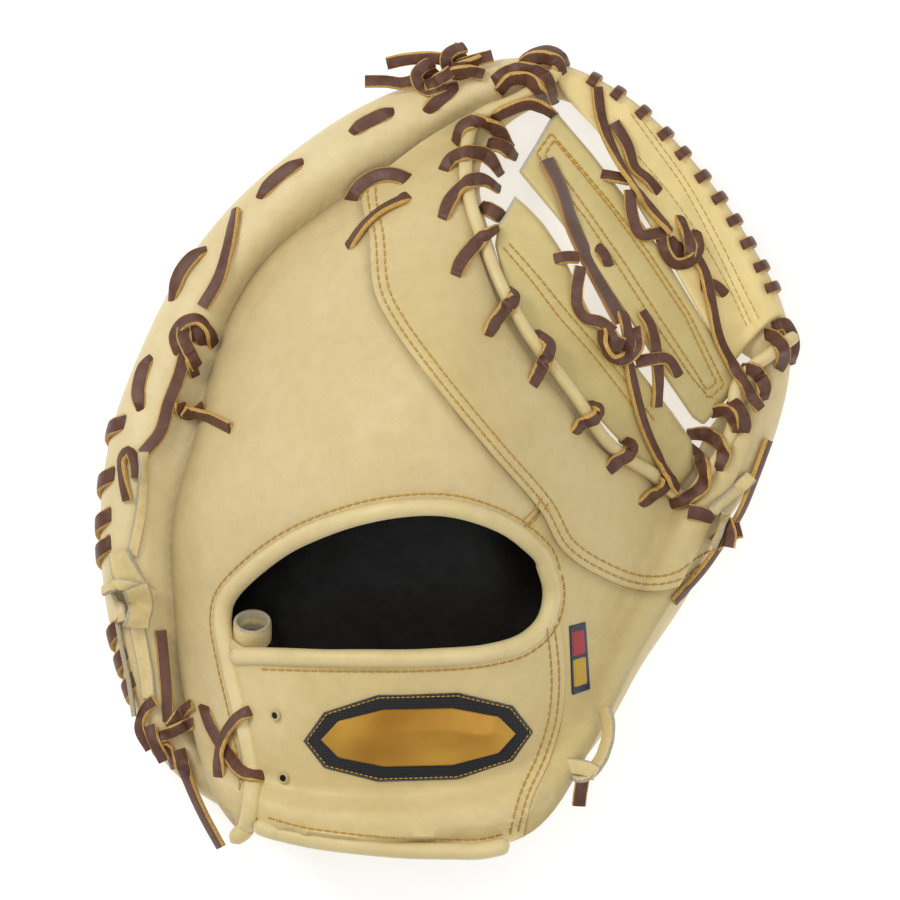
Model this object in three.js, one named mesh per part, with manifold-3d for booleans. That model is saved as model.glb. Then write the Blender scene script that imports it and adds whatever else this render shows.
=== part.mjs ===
// A first baseman mitt for the left hand, lying on its catching face with the back of the hand up.
// +X points to the thumb side, +Y to the finger tips and +Z up. Lengths are in millimetres.
// The origin is the middle of the footprint, on the surface that the mitt rests on.
import * as THREE from "three";
import { mergeVertices } from "three/addons/utils/BufferGeometryUtils.js";
import Module from "manifold-3d";

const wasm = await Module();
wasm.setup();

// Overall form
const halfWidth = 140;
const halfLength = 160;
const pocketDepth = 66;
const cavityHeight = 37;

// Palm: a padded wall that thickens to a round rim
const palmWall = 9;
const rimWidth = 16;
const rimHeight = 15;
const rimFlat = 1.4;
const bandWidth = 36;
const creaseWidth = 10;

// Back shell, bindings and welt
const leather = 2.4;
const webSlope = 46;
const bindingRadius = 3.6;
const strapHemRadius = 3;
const weltRadius = 2.2;
const liningThickness = 1.5;
const liningReach = 13;

// Web strips, each a flat fold of leather
const stripDepth = 3;
const stripRise = 2;
const outerStripThickness = 3.2;
const stripInset = 1;

// Laces and small parts
const laceWidth = 5.2;
const laceThickness = 2.2;
const thongWidth = 7;
const knotRadius = 4;
const knotLength = 9;
const patchThickness = 1.8;
const patchHalfLength = 46;
const patchHalfWidth = 18;
const tagThickness = 1;
const loopRadius = 8.5;

// Gaps between pieces
const seamGap = 0.4;
const creaseGap = 0.7;
const restGap = 0.3;
const strandGap = 0.75;

// Fineness of the faceted surfaces
const bearingSteps = 32;
const strandStep = 8;
const turnSteps = 5;

const leatherColour = 0xd8c38e;
const laceColour = 0x6b4734;

// A table with named columns: each row becomes an object.
function table(columns, rows) {
  const names = columns.split(" ");
  return rows.map((row) => Object.fromEntries(names.map((name, i) => [name, row[i]])));
}

// The rim, walked round from the thumb side. Bearings are in degrees round the hand centre.
// reach is a share of the half sizes, band of bandWidth, rim of the rim's sizes, lift of rimHeight
// and mouth of cavityHeight: how far the back shell stands open at its edge.
const rimTable = table("bearing reach band rim lift mouth shoulder", [
  [0, 0.964, 0.26, 0.75, 0, 0, 2.2],
  [15, 1.045, 0.31, 0.55, 0.4, 0, 2.2],
  [30, 1.026, 0.24, 0.35, 0.65, 0, 2.2],
  [45, 1.016, 0.24, 0.3, 0.75, 0, 2.2],
  [60, 1.023, 0.23, 0.3, 0.75, 0, 2.2],
  [75, 1.0, 0.45, 0.5, 0.5, 0, 2.2],
  [90, 0.922, 0.62, 0.85, 0.1, 0, 2.1],
  [105, 0.874, 0.8, 1, 0, 0, 2.1],
  [120, 0.845, 0.76, 1, 0, 0, 2.2],
  [135, 0.845, 0.71, 1, 0, 0, 2.3],
  [150, 0.862, 0.73, 1, 0, 0, 2.5],
  [165, 0.894, 0.83, 1, 0, 0, 2.8],
  [180, 0.955, 0.95, 1, 0, 0, 3],
  [195, 1.016, 0.86, 1, 0, 0, 3],
  [210, 1.079, 0.79, 0.9, 0, 0, 2.8],
  [225, 1.138, 0.52, 0.75, 0.15, 0.2, 2.6],
  [240, 1.106, -0.13, 0.6, 0.4, 0.95, 2.4],
  [255, 1.032, -0.1, 0.55, 0.5, 1.35, 2.2],
  [270, 0.994, -0.13, 0.55, 0.5, 1.4, 2.2],
  [285, 0.973, -0.18, 0.55, 0.45, 1.25, 2.2],
  [300, 0.893, 0.06, 0.6, 0.3, 0.7, 2.4],
  [315, 0.817, 0.1, 0.7, 0.1, 0.2, 2.6],
  [330, 0.816, 0.14, 0.8, 0, 0, 2.6],
  [345, 0.85, 0.15, 0.8, 0, 0, 2.4],
]);
const handCentre = { across: -0.029, along: 0.025 };

// Lines on the plan, as shares of the half sizes
const weltLine = table("across along", [
  [0.314, 0.95], [0.191, 0.895], [0.091, 0.812], [0.06, 0.675], [0.097, 0.512], [0.186, 0.312],
  [0.343, 0.125], [0.446, 0.013], [0.557, -0.045], [0.646, -0.1], [0.72, -0.045], [0.766, 0.037],
  [0.9, 0.212], [0.991, 0.32],
]);
const windowEdge = table("across along", [
  [0.32, 0.885], [0.223, 0.855], [0.134, 0.795], [0.091, 0.725], [0.086, 0.65], [0.12, 0.525],
  [0.206, 0.33], [0.363, 0.142], [0.463, 0.03], [0.571, -0.025], [0.646, -0.07], [0.697, -0.03],
  [0.746, 0.05], [0.877, 0.22], [0.843, 0.245], [0.766, 0.31], [0.686, 0.43], [0.62, 0.535],
  [0.557, 0.63], [0.514, 0.725], [0.44, 0.815],
]);
const innerStripEdge = table("across along", [
  [0.151, 0.59], [0.189, 0.632], [0.303, 0.535], [0.371, 0.425], [0.44, 0.312], [0.543, 0.205],
  [0.589, 0.13], [0.69, -0.01], [0.645, -0.07], [0.56, -0.025], [0.471, 0.05], [0.38, 0.152],
  [0.229, 0.333], [0.166, 0.47],
]);
const middleStripEdge = table("across along", [
  [0.314, 0.858], [0.42, 0.73], [0.503, 0.625], [0.571, 0.517], [0.634, 0.417], [0.697, 0.36],
  [0.749, 0.28], [0.83, 0.145], [0.73, 0.03], [0.611, 0.135], [0.543, 0.245], [0.463, 0.345],
  [0.394, 0.445], [0.331, 0.517], [0.246, 0.615], [0.157, 0.708],
]);
const outerStripEdge = table("across along", [
  [0.331, 0.895], [0.423, 0.805], [0.491, 0.72], [0.534, 0.625], [0.6, 0.53], [0.669, 0.42],
  [0.749, 0.3], [0.809, 0.22], [0.857, 0.263], [0.917, 0.32], [1.0, 0.375], [1.1, 0.625],
  [0.9, 0.925], [0.486, 1.15], [0.314, 1.1], [0.306, 0.938],
]);
const crotchSeam = table("across along", [
  [-0.029, 1.075], [-0.186, 0.825], [-0.234, 0.66], [-0.211, 0.537], [-0.194, 0.4], [-0.149, 0.32],
  [-0.029, 0.175], [0.131, 0.005], [0.274, -0.14], [0.337, -0.237], [0.443, -0.3], [0.557, -0.335],
  [0.657, -0.325], [0.749, -0.275], [0.971, -0.225],
]);
const thumbSeam = table("across along", [
  [0.274, -0.14], [0.189, -0.212], [0.1, -0.33], [0.2, -0.4], [0.303, -0.388],
]);
const strapSeam = table("across along", [
  [0.303, -0.388], [0.32, -0.475], [0.329, -0.575], [0.32, -0.675], [0.286, -0.775], [0.234, -0.875],
  [0.206, -0.988], [0.194, -1.125],
]);
const openingLine = table("across along", [
  [-0.623, -0.475], [-0.651, -0.425], [-0.64, -0.375], [-0.586, -0.318], [-0.457, -0.233],
  [-0.3, -0.175], [-0.143, -0.145], [0.014, -0.145], [0.157, -0.188], [0.257, -0.258],
  [0.289, -0.35], [0.271, -0.425], [0.214, -0.475], [0.114, -0.502], [-0.057, -0.515],
  [-0.314, -0.517], [-0.514, -0.515],
]);
const fingerBindingLine = table("across along", [
  [-0.583, -0.945], [-0.566, -0.87], [-0.566, -0.8], [-0.583, -0.712], [-0.606, -0.625],
  [-0.629, -0.54], [-0.651, -0.425], [-0.64, -0.375], [-0.586, -0.318], [-0.457, -0.233],
  [-0.3, -0.175], [-0.143, -0.145], [0.014, -0.145], [0.157, -0.188], [0.235, -0.238],
]);
const strapBindingLine = table("across along", [
  [0.262, -0.266], [0.289, -0.35], [0.271, -0.425], [0.214, -0.475], [0.114, -0.502],
  [-0.057, -0.515], [-0.314, -0.517], [-0.54, -0.515],
]);
const strapHemLine = table("across along", [
  [-0.53, -0.945], [-0.43, -0.968], [-0.286, -0.985], [-0.143, -0.996], [0, -1], [0.086, -1], [0.17, -0.985],
]);
const strapLeftEdge = table("across along", [
  [-0.54, -1.125], [-0.54, -0.95], [-0.566, -0.87], [-0.566, -0.8], [-0.583, -0.712], [-0.606, -0.625],
  [-0.629, -0.54], [-0.4, -0.4],
]);

const patchCentre = { across: -0.09, along: -0.715 };
const tagCorners = table("across along", [
  [0.34, -0.44], [0.389, -0.43], [0.403, -0.6], [0.349, -0.615],
]);

// Where each turn of the welt lace crosses the welt, as a share of the welt's length
const weltLaceTurns = [
  0.035, 0.085, 0.135, 0.185, 0.235, 0.285, 0.355, 0.43, 0.505, 0.585, 0.65, 0.71, 0.77, 0.825,
  0.885, 0.945,
];
const weltLaceReach = { hand: 8, web: 5.4 };

// Running stitches along the finger side of the rim
const rimStitches = table("bearing halfSpan", [
  [90, 5], [104, 5.5], [125, 6], [150, 6], [170, 5.5], [184, 4.2], [196, 4.2],
]);
const rimStitchInset = 6.5;
const rimStitchDepth = 4.5;

// Whip stitches over the web's outer edge
const whipStitch = { from: 21, to: 66, turns: 10, centreInset: 5, reach: 6.8 };

const degree = Math.PI / 180;
const clamp01 = (t) => Math.min(1, Math.max(0, t));
const mix = (a, b, t) => a + (b - a) * t;
const smooth = (a, b, t) => {
  const s = clamp01((t - a) / (b - a));
  return s * s * (3 - 2 * s);
};
const place = ({ across, along }) => new THREE.Vector2(across * halfWidth, along * halfLength);

// A row of the rim table at any bearing, smooth from row to row
function rimAt(bearing) {
  const n = rimTable.length;
  const at = (((bearing / (360 / n)) % n) + n) % n;
  const i = Math.floor(at);
  const t = at - i;
  const rows = [-1, 0, 1, 2].map((k) => rimTable[(i + k + n) % n]);
  const row = {};
  for (const name of Object.keys(rimTable[0])) {
    const [a, b, c, d] = rows.map((r) => r[name]);
    row[name] =
      b + 0.5 * t * (c - a + t * (2 * a - 5 * b + 4 * c - d + t * (3 * (b - c) + d - a)));
  }
  row.mouth = Math.max(0, row.mouth);
  row.lift = Math.max(0, row.lift);
  return row;
}

// Distance from the hand centre to the rim along a bearing
function spanAt(bearing, row) {
  const a = Math.cos(bearing * degree) * halfWidth;
  const b = Math.sin(bearing * degree) * halfLength;
  return row.reach * Math.hypot(a, b);
}

// The plan point that lies inset millimetres inside the rim on a bearing
function pointAt(bearing, inset) {
  const row = rimAt(bearing);
  const share = row.reach * (1 - inset / spanAt(bearing, row));
  return place({
    across: handCentre.across + share * Math.cos(bearing * degree),
    along: handCentre.along + share * Math.sin(bearing * degree),
  });
}

// What the rim table says at a plan point, with the point's distance inside the rim
function station(x, y) {
  const a = x / halfWidth - handCentre.across;
  const b = y / halfLength - handCentre.along;
  const bearing = Math.atan2(b, a) / degree;
  const row = rimAt(bearing);
  const span = spanAt(bearing, row);
  const share = Math.hypot(a, b) / row.reach;
  return { row, span, share, inset: (1 - share) * span };
}

const rimRoll = (row) => ({
  low: row.lift * rimHeight - rimFlat * (1 - clamp01(row.lift * 4)),
  half: rimHeight * row.rim,
  wide: rimWidth * row.rim,
});
const rollHalf = (inset, wide) => Math.sqrt(1 - (1 - clamp01(inset / wide)) ** 2);

// Height of the palm's catching face: the rim's underside, then the pocket
function palmUnder(x, y) {
  const { row, span, inset } = station(x, y);
  const { low, half, wide } = rimRoll(row);
  const rise = clamp01((inset - wide) / (span - wide));
  const pocket = (pocketDepth - low) * Math.sin((rise * Math.PI) / 2) ** 1.15;
  const roll = half * (1 - rollHalf(inset, wide));
  return Math.max(0, low + roll + pocket);
}

// Height of the palm's upper face: the rim's top, then the floor of the hand's hollow
function palmTop(x, y) {
  const { row, share, inset } = station(x, y);
  const { low, half, wide } = rimRoll(row);
  const wall = palmWall * mix(1, mix(0.4, 1, row.rim), clamp01(share) ** 2);
  const crease = Math.max(row.band * bandWidth, wide + 3);
  const w = smooth(wide, crease + creaseWidth, inset);
  return mix(low + half * (1 + rollHalf(inset, wide)), palmUnder(x, y) + wall, w);
}

// Smooth lines through plan rows, as evenly spaced points
function planLine(rows, count, closed = false) {
  const points = rows.map(place).map((p) => new THREE.Vector3(p.x, p.y, 0));
  const curve = new THREE.CatmullRomCurve3(points, closed, "centripetal");
  const spaced = curve.getSpacedPoints(count);
  if (closed) spaced.pop();
  return spaced.map((p) => new THREE.Vector2(p.x, p.y));
}

const weltPoints = planLine(weltLine, 30);
function distanceTo(line, x, y) {
  let best = Infinity;
  for (let i = 0; i + 1 < line.length; i++) {
    const a = line[i];
    const b = line[i + 1];
    const dx = b.x - a.x;
    const dy = b.y - a.y;
    const t = clamp01(((x - a.x) * dx + (y - a.y) * dy) / (dx * dx + dy * dy));
    best = Math.min(best, Math.hypot(x - a.x - t * dx, y - a.y - t * dy));
  }
  return best;
}

// Outline of everything on the web's side of the welt, moved towards the hand by grow
function webSide(grow) {
  const line = offsetLine(weltPoints, -grow);
  const first = line[0];
  const last = line[line.length - 1];
  const beyond = 2 * halfWidth;
  return [
    ...line,
    new THREE.Vector2(last.x + beyond, last.y + beyond / 4),
    new THREE.Vector2(last.x + beyond, first.y + beyond),
    new THREE.Vector2(first.x, first.y + beyond),
  ];
}

// A plan line moved to its left by distance
function offsetLine(line, distance) {
  return line.map((p, i) => {
    const a = line[Math.max(0, i - 1)];
    const b = line[Math.min(line.length - 1, i + 1)];
    const length = Math.hypot(b.x - a.x, b.y - a.y);
    return new THREE.Vector2(
      p.x - ((b.y - a.y) / length) * distance,
      p.y + ((b.x - a.x) / length) * distance,
    );
  });
}

function isInside(polygon, x, y) {
  let inside = false;
  for (let i = 0, j = polygon.length - 1; i < polygon.length; j = i++) {
    const a = polygon[i];
    const b = polygon[j];
    if (a.y > y !== b.y > y && x < ((b.x - a.x) * (y - a.y)) / (b.y - a.y) + a.x) inside = !inside;
  }
  return inside;
}

// Height of the hand's hollow over the palm: nothing at the crease and the web, open at the wrist
const webArea = webSide(0);
function cavity(x, y) {
  const { row, span, inset } = station(x, y);
  const band = row.band * bandWidth;
  const u = clamp01((inset - band) / (span - band));
  const fromRim = row.mouth + (1 - row.mouth) * (1 - (1 - u) ** row.shoulder);
  if (isInside(webArea, x, y)) return 0;
  const v = clamp01(distanceTo(weltPoints, x, y) / webSlope);
  return cavityHeight * fromRim * (1 - (1 - v) ** 2.2);
}

const backUnder = (x, y) => palmTop(x, y) + creaseGap + cavity(x, y);
const slopeStep = 2;
function slope(height, x, y) {
  const sx = (height(x + slopeStep, y) - height(x - slopeStep, y)) / (2 * slopeStep);
  const sy = (height(x, y + slopeStep) - height(x, y - slopeStep)) / (2 * slopeStep);
  return new THREE.Vector2(sx, sy);
}

// The wall's thickness measured upwards grows with the slope, up to a limit
const steepest = 2.4;
function backTop(x, y) {
  const steep = Math.min(steepest, Math.hypot(1, slope(backUnder, x, y).length()));
  return backUnder(x, y) + leather * steep;
}

// Closed solids from raw triangles
function solidFrom(positions, triangles) {
  const raw = new THREE.BufferGeometry();
  raw.setAttribute("position", new THREE.Float32BufferAttribute(positions, 3));
  raw.setIndex(triangles);
  return solidOf(raw);
}

function solidOf(geometry) {
  const bare = new THREE.BufferGeometry();
  bare.setAttribute("position", geometry.getAttribute("position"));
  bare.setIndex(geometry.index);
  const merged = mergeVertices(bare, 1e-4);
  const v = merged.attributes.position.array;
  const index = [];
  const from = merged.index.array;
  let volume = 0;
  for (let i = 0; i < from.length; i += 3) {
    const [a, b, c] = [from[i], from[i + 1], from[i + 2]];
    if (a === b || b === c || c === a) continue;
    index.push(a, b, c);
    const [p, q, r] = [a, b, c].map((k) => new THREE.Vector3().fromArray(v, 3 * k));
    volume += p.dot(q.cross(r));
  }
  if (volume < 0) index.reverse();
  return new wasm.Manifold(
    new wasm.Mesh({ numProp: 3, vertProperties: v, triVerts: new Uint32Array(index) }),
  );
}

// A solid between two height functions over the disc inside edgeInset, ring by ring
function discSolid(ringInsets, low, high) {
  const positions = [];
  const triangles = [];
  const rings = ringInsets(rimAt(0), spanAt(0, rimAt(0))).length;
  const surface = [low, high].map((height) => {
    const start = positions.length / 3;
    for (let i = 0; i < bearingSteps; i++) {
      const bearing = (360 * i) / bearingSteps;
      const row = rimAt(bearing);
      for (const inset of ringInsets(row, spanAt(bearing, row))) {
        const p = pointAt(bearing, inset);
        positions.push(p.x, p.y, height(p.x, p.y));
      }
    }
    const c = place(handCentre);
    positions.push(c.x, c.y, height(c.x, c.y));
    return { start, centre: positions.length / 3 - 1 };
  });
  const at = (s, i, k) => s.start + (i % bearingSteps) * rings + k;
  surface.forEach((s, side) => {
    const face = (a, b, c) => triangles.push(...(side ? [a, b, c] : [a, c, b]));
    for (let i = 0; i < bearingSteps; i++) {
      for (let k = 0; k + 1 < rings; k++) {
        face(at(s, i, k), at(s, i + 1, k), at(s, i, k + 1));
        face(at(s, i + 1, k), at(s, i + 1, k + 1), at(s, i, k + 1));
      }
      face(at(s, i, rings - 1), at(s, i + 1, rings - 1), s.centre);
    }
  });
  const [lower, upper] = surface;
  for (let i = 0; i < bearingSteps; i++) {
    triangles.push(at(lower, i, 0), at(lower, i + 1, 0), at(upper, i + 1, 0));
    triangles.push(at(lower, i, 0), at(upper, i + 1, 0), at(upper, i, 0));
  }
  return solidFrom(positions, triangles);
}

// Rings of the palm: round the rim, over the band, across the crease, then to the centre
function palmRings(row, span) {
  const { wide } = rimRoll(row);
  const crease = Math.max(row.band * bandWidth, wide + 3);
  const rim = [0, 0.12, 0.45, 0.8, 1.1].map((t) => t * wide);
  const fold = [crease, crease + creaseWidth];
  const floor = [0.22, 0.48, 0.74].map((t) => mix(crease + creaseWidth, span, t));
  return [...rim, ...fold, ...floor];
}

// Rings of the back shell, closer together on the steep side
function backRings(row, span) {
  const edge = row.band * bandWidth;
  return [0, 0.06, 0.15, 0.27, 0.42, 0.6, 0.8].map((t) => mix(edge, span, t));
}

// A vertical prism over a plan polygon, grown outwards
function prism(points, grow = 0) {
  const ccw = THREE.ShapeUtils.area(points) > 0 ? points : [...points].reverse();
  const n = ccw.length;
  const ring = ccw.map((p, i) => {
    const a = ccw[(i + n - 1) % n];
    const b = ccw[(i + 1) % n];
    const length = Math.hypot(b.x - a.x, b.y - a.y);
    return new THREE.Vector2(
      p.x + ((b.y - a.y) / length) * grow,
      p.y - ((b.x - a.x) / length) * grow,
    );
  });
  const tall = 4 * (pocketDepth + cavityHeight);
  const shape = new THREE.ExtrudeGeometry(new THREE.Shape(ring), { depth: tall, bevelEnabled: false });
  return solidOf(shape.translate(0, 0, -tall / 4));
}

// A closed solid that follows a path: each station has a point and the way that the section's up faces
function sweep(stations, section) {
  const n = stations.length;
  const m = section.length;
  const positions = [];
  stations.forEach(({ point, up }, i) => {
    const a = stations[Math.max(0, i - 1)].point;
    const b = stations[Math.min(n - 1, i + 1)].point;
    const ahead = b.clone().sub(a).normalize();
    const side = ahead.clone().cross(up).normalize();
    const top = side.clone().cross(ahead);
    for (const [s, t] of section) {
      const p = point.clone().addScaledVector(side, s).addScaledVector(top, t);
      positions.push(p.x, p.y, p.z);
    }
  });
  const triangles = [];
  for (let i = 0; i + 1 < n; i++) {
    for (let k = 0; k < m; k++) {
      const a = i * m + k;
      const b = i * m + ((k + 1) % m);
      triangles.push(a, b, a + m, b, b + m, a + m);
    }
  }
  for (let k = 1; k + 1 < m; k++) {
    const last = (n - 1) * m;
    triangles.push(0, k + 1, k, last, last + k, last + k + 1);
  }
  return solidFrom(positions, triangles);
}

const roundSection = (radius, sides = 6) =>
  Array.from({ length: sides }, (_, k) => {
    const a = ((k + 0.5) * 2 * Math.PI) / sides;
    return [Math.cos(a) * radius, Math.sin(a) * radius];
  });
const flatSection = (wide, thick) => [
  [-wide / 2, -thick / 2],
  [wide / 2, -thick / 2],
  [wide / 2, thick / 2],
  [-wide / 2, thick / 2],
];

// The upward normal of a height function
function upwards(height, x, y) {
  const s = slope(height, x, y);
  return new THREE.Vector3(-s.x, -s.y, 1).normalize();
}

const outerStripOutline = outerStripEdge.map(place);
const outerTop = seamGap + outerStripThickness;

// Round strips whose middle lies in the middle of the back shell's wall
function bindingStations(rows, count) {
  return planLine(rows, count).map((p) => ({
    point: new THREE.Vector3(p.x, p.y, (backUnder(p.x, p.y) + backTop(p.x, p.y)) / 2),
    up: new THREE.Vector3(0, 0, 1),
  }));
}

// What has been made so far, as upward triangles that later pieces are laid on
const carriers = [];
const made = [];
function carry(solid) {
  made.push(solid);
  const { vertProperties, triVerts, numProp } = solid.getMesh();
  const corner = (k) => new THREE.Vector3().fromArray(vertProperties, numProp * k);
  for (let i = 0; i < triVerts.length; i += 3) {
    const [a, b, c] = [corner(triVerts[i]), corner(triVerts[i + 1]), corner(triVerts[i + 2])];
    const area = (b.x - a.x) * (c.y - a.y) - (b.y - a.y) * (c.x - a.x);
    if (area > 1e-6) carriers.push({ a, b, c, area, box: new THREE.Box3().setFromPoints([a, b, c]) });
  }
  return solid;
}

// The highest carrier at a plan point
function carriedTop(x, y) {
  let best = -Infinity;
  for (const { a, b, c, area, box } of carriers) {
    if (x < box.min.x || x > box.max.x || y < box.min.y || y > box.max.y) continue;
    const u = ((b.x - x) * (c.y - y) - (b.y - y) * (c.x - x)) / area;
    const v = ((c.x - x) * (a.y - y) - (c.y - y) * (a.x - x)) / area;
    if (u < 0 || v < 0 || u + v > 1) continue;
    best = Math.max(best, u * a.z + v * b.z + (1 - u - v) * c.z);
  }
  return best;
}

// Where a small flat piece comes to lie: samples in its footprint give its tilt and its height
const seatRings = [0.5, 1];
const fewestSamples = 5;
const steepestSeat = 1.2;
function seat(x, y, reach, lift) {
  const spots = [new THREE.Vector2(x, y)];
  for (const share of seatRings) {
    for (let k = 0; k < 8; k++) {
      const a = (k * Math.PI) / 4;
      spots.push(new THREE.Vector2(x + Math.cos(a) * reach * share, y + Math.sin(a) * reach * share));
    }
  }
  const samples = spots
    .map((p) => new THREE.Vector3(p.x, p.y, carriedTop(p.x, p.y)))
    .filter((p) => Number.isFinite(p.z));
  if (samples.length < fewestSamples) return null;
  const mean = samples.reduce((sum, p) => sum.add(p), new THREE.Vector3()).divideScalar(samples.length);
  let [xx, xy, yy, xz, yz] = [1e-3, 0, 1e-3, 0, 0];
  for (const p of samples) {
    const d = p.clone().sub(mean);
    xx += d.x * d.x;
    xy += d.x * d.y;
    yy += d.y * d.y;
    xz += d.x * d.z;
    yz += d.y * d.z;
  }
  const det = xx * yy - xy * xy;
  const tilt = new THREE.Vector2((xz * yy - yz * xy) / det, (yz * xx - xz * xy) / det);
  tilt.clampLength(0, steepestSeat);
  const up = new THREE.Vector3(-tilt.x, -tilt.y, 1).normalize();
  const z = mean.z + tilt.x * (x - mean.x) + tilt.y * (y - mean.y);
  const foot = new THREE.Vector3(x, y, z);
  const above = Math.max(...samples.map((p) => p.clone().sub(foot).dot(up)));
  return { point: foot.addScaledVector(up, above + strandGap + lift), up };
}

// A strand laid along plan rows on what carries it
function laidStations(rows, wide = laceWidth, thick = laceThickness) {
  const points = rows.map(place).map((p) => new THREE.Vector3(p.x, p.y, 0));
  const curve = new THREE.CatmullRomCurve3(points, false, "centripetal");
  const count = Math.max(4, Math.round(curve.getLength() / strandStep));
  const reach = Math.max(wide / 2, strandStep * 0.55);
  const flat = curve.getSpacedPoints(count);
  const seats = flat.map((p) => seat(p.x, p.y, reach, thick / 2));
  return seats.map((found, i) => {
    if (found) return found;
    const before = seats.findLastIndex((s, k) => s && k < i);
    const after = seats.findIndex((s, k) => s && k > i);
    const a = seats[before] ?? seats[after];
    const b = seats[after] ?? a;
    const t = a === b ? 0 : (i - before) / (after - before);
    const point = new THREE.Vector3(flat[i].x, flat[i].y, mix(a.point.z, b.point.z, t));
    return { point, up: a.up.clone().lerp(b.up, t).normalize() };
  });
}

// A knot's outer form: a short thick stretch of the strand round one station
function knotStations(stations, index) {
  const { point, up } = stations[index];
  const before = stations[index - 1].point;
  const after = stations[index + 1].point;
  const ahead = after.clone().sub(before).normalize();
  const middle = point.clone().addScaledVector(up, knotRadius - laceThickness / 2);
  return [-0.5, 0.5].map((t) => ({ point: middle.clone().addScaledVector(ahead, t * knotLength), up }));
}

// A turn of a lace round a strip: a circle squared off, so that its flats clear the strip
const turnSpread = 1.3;
function boxedTurn(phase) {
  const c = Math.cos(phase);
  const s = Math.sin(phase);
  return { c: Math.sign(c) * Math.sqrt(Math.abs(c)), s: Math.sign(s) * Math.sqrt(Math.abs(s)) };
}

// The helix of the welt lace
const weltCurve = new THREE.CatmullRomCurve3(
  weltPoints.map((p) => new THREE.Vector3(p.x, p.y, 0)),
);
const weltLaceLift = weltRadius + restGap + laceThickness / 2;
const weltLift = 2 * strandGap + laceThickness / 2 + weltLaceLift * turnSpread;
function weltStation(share) {
  const p = weltCurve.getPointAt(share);
  const ahead = weltCurve.getTangentAt(share);
  const up = upwards(palmTop, p.x, p.y);
  const towardsWeb = up.clone().cross(ahead).normalize();
  const foot = new THREE.Vector3(p.x, p.y, palmTop(p.x, p.y));
  const { hand, web } = weltLaceReach;
  const highest = Math.max(
    ...[-hand, -hand / 2, 0, web].map((t) => {
      const q = foot.clone().addScaledVector(towardsWeb, t);
      return (palmTop(q.x, q.y) - q.z) * up.z;
    }),
  );
  return { point: foot.addScaledVector(up, highest + weltLift), up, towardsWeb };
}

function weltLaceStations() {
  const list = [];
  for (let i = 0; i + 1 < weltLaceTurns.length; i++) {
    for (let k = 0; k < turnSteps; k++) {
      const phase = (2 * Math.PI * k) / turnSteps;
      const { point, up, towardsWeb } = weltStation(
        mix(weltLaceTurns[i], weltLaceTurns[i + 1], k / turnSteps),
      );
      const { c, s } = boxedTurn(phase);
      const across = c * (c > 0 ? weltLaceReach.web : weltLaceReach.hand);
      point.addScaledVector(towardsWeb, across).addScaledVector(up, s * weltLaceLift * turnSpread);
      list.push({ point, up: up.clone().multiplyScalar(s).addScaledVector(towardsWeb, c) });
    }
  }
  return list;
}

// The running lace of the finger side: over the rim at each stitch, inside it between them
function rimLaceStations() {
  const steps = [-1.6, -0.9, 0.9, 1.6];
  return rimStitches.flatMap(({ bearing, halfSpan }) =>
    steps.map((step) => {
      const p = pointAt(bearing + step * halfSpan, rimStitchInset);
      const up = upwards(palmTop, p.x, p.y);
      const out = Math.abs(step) < 1 ? restGap + laceThickness / 2 : -rimStitchDepth;
      const point = new THREE.Vector3(p.x, p.y, palmTop(p.x, p.y)).addScaledVector(up, out);
      return { point, up };
    }),
  );
}

// The whip lace over the web's edge
function whipLaceStations() {
  const count = whipStitch.turns * turnSteps;
  return Array.from({ length: count + 1 }, (_, i) => {
    const bearing = mix(whipStitch.to, whipStitch.from, i / count);
    const phase = (2 * Math.PI * i) / turnSteps;
    const rim = pointAt(bearing, 0);
    const centre = pointAt(bearing, whipStitch.centreInset);
    const out = rim.clone().sub(centre).normalize();
    const { low, half } = rimRoll(rimAt(bearing));
    const tall = (half + outerTop / 2 + restGap + laceThickness / 2) * turnSpread;
    const { c, s } = boxedTurn(phase);
    const p = centre.clone().addScaledVector(out, c * whipStitch.reach);
    return {
      point: new THREE.Vector3(p.x, p.y, low + half + outerTop / 2 + s * tall),
      up: new THREE.Vector3(out.x * c, out.y * c, s),
    };
  });
}

// Cuts and joins
const cut = (solid, ...tools) => tools.reduce((rest, tool) => rest.subtract(tool), solid);
const join = (...solids) => solids.reduce((whole, solid) => whole.add(solid));
const largest = (solid) =>
  solid.decompose().sort((a, b) => b.volume() - a.volume())[0];
function moved(solid, x, y, z) {
  const { vertProperties, triVerts } = solid.getMesh();
  const shifted = vertProperties.map((v, i) => v + [x, y, z][i % 3]);
  return new wasm.Manifold(new wasm.Mesh({ numProp: 3, vertProperties: shifted, triVerts }));
}

// A solid trimmed to lie restGap clear of the others, over and beside them
const sideways = [[1, 0], [-1, 0], [0, 1], [0, -1]];
function clearOf(solid, others) {
  let rest = solid;
  for (const other of others) {
    const over = moved(other, 0, 0, restGap);
    if (rest.intersect(over).isEmpty() && rest.intersect(other).isEmpty()) continue;
    rest = cut(rest, over, ...sideways.map(([x, y]) => moved(other, x * restGap, y * restGap, 0)));
  }
  return largest(rest);
}

const grownBy = 2 * seamGap;
const laceSolid = (stations, wide = laceWidth, thick = laceThickness) =>
  sweep(stations, flatSection(wide, thick));
const laceTunnel = (stations) =>
  sweep(stations, flatSection(laceWidth + grownBy, laceThickness + grownBy));

// Laces that pierce the leather, and the tunnels that they run in
const weltLace = weltLaceStations();
const rimLace = rimLaceStations();
const whipLace = whipLaceStations();
const rimTunnels = [rimLace, whipLace].map(laceTunnel);
const weltTunnel = laceTunnel(weltLace);

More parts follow.
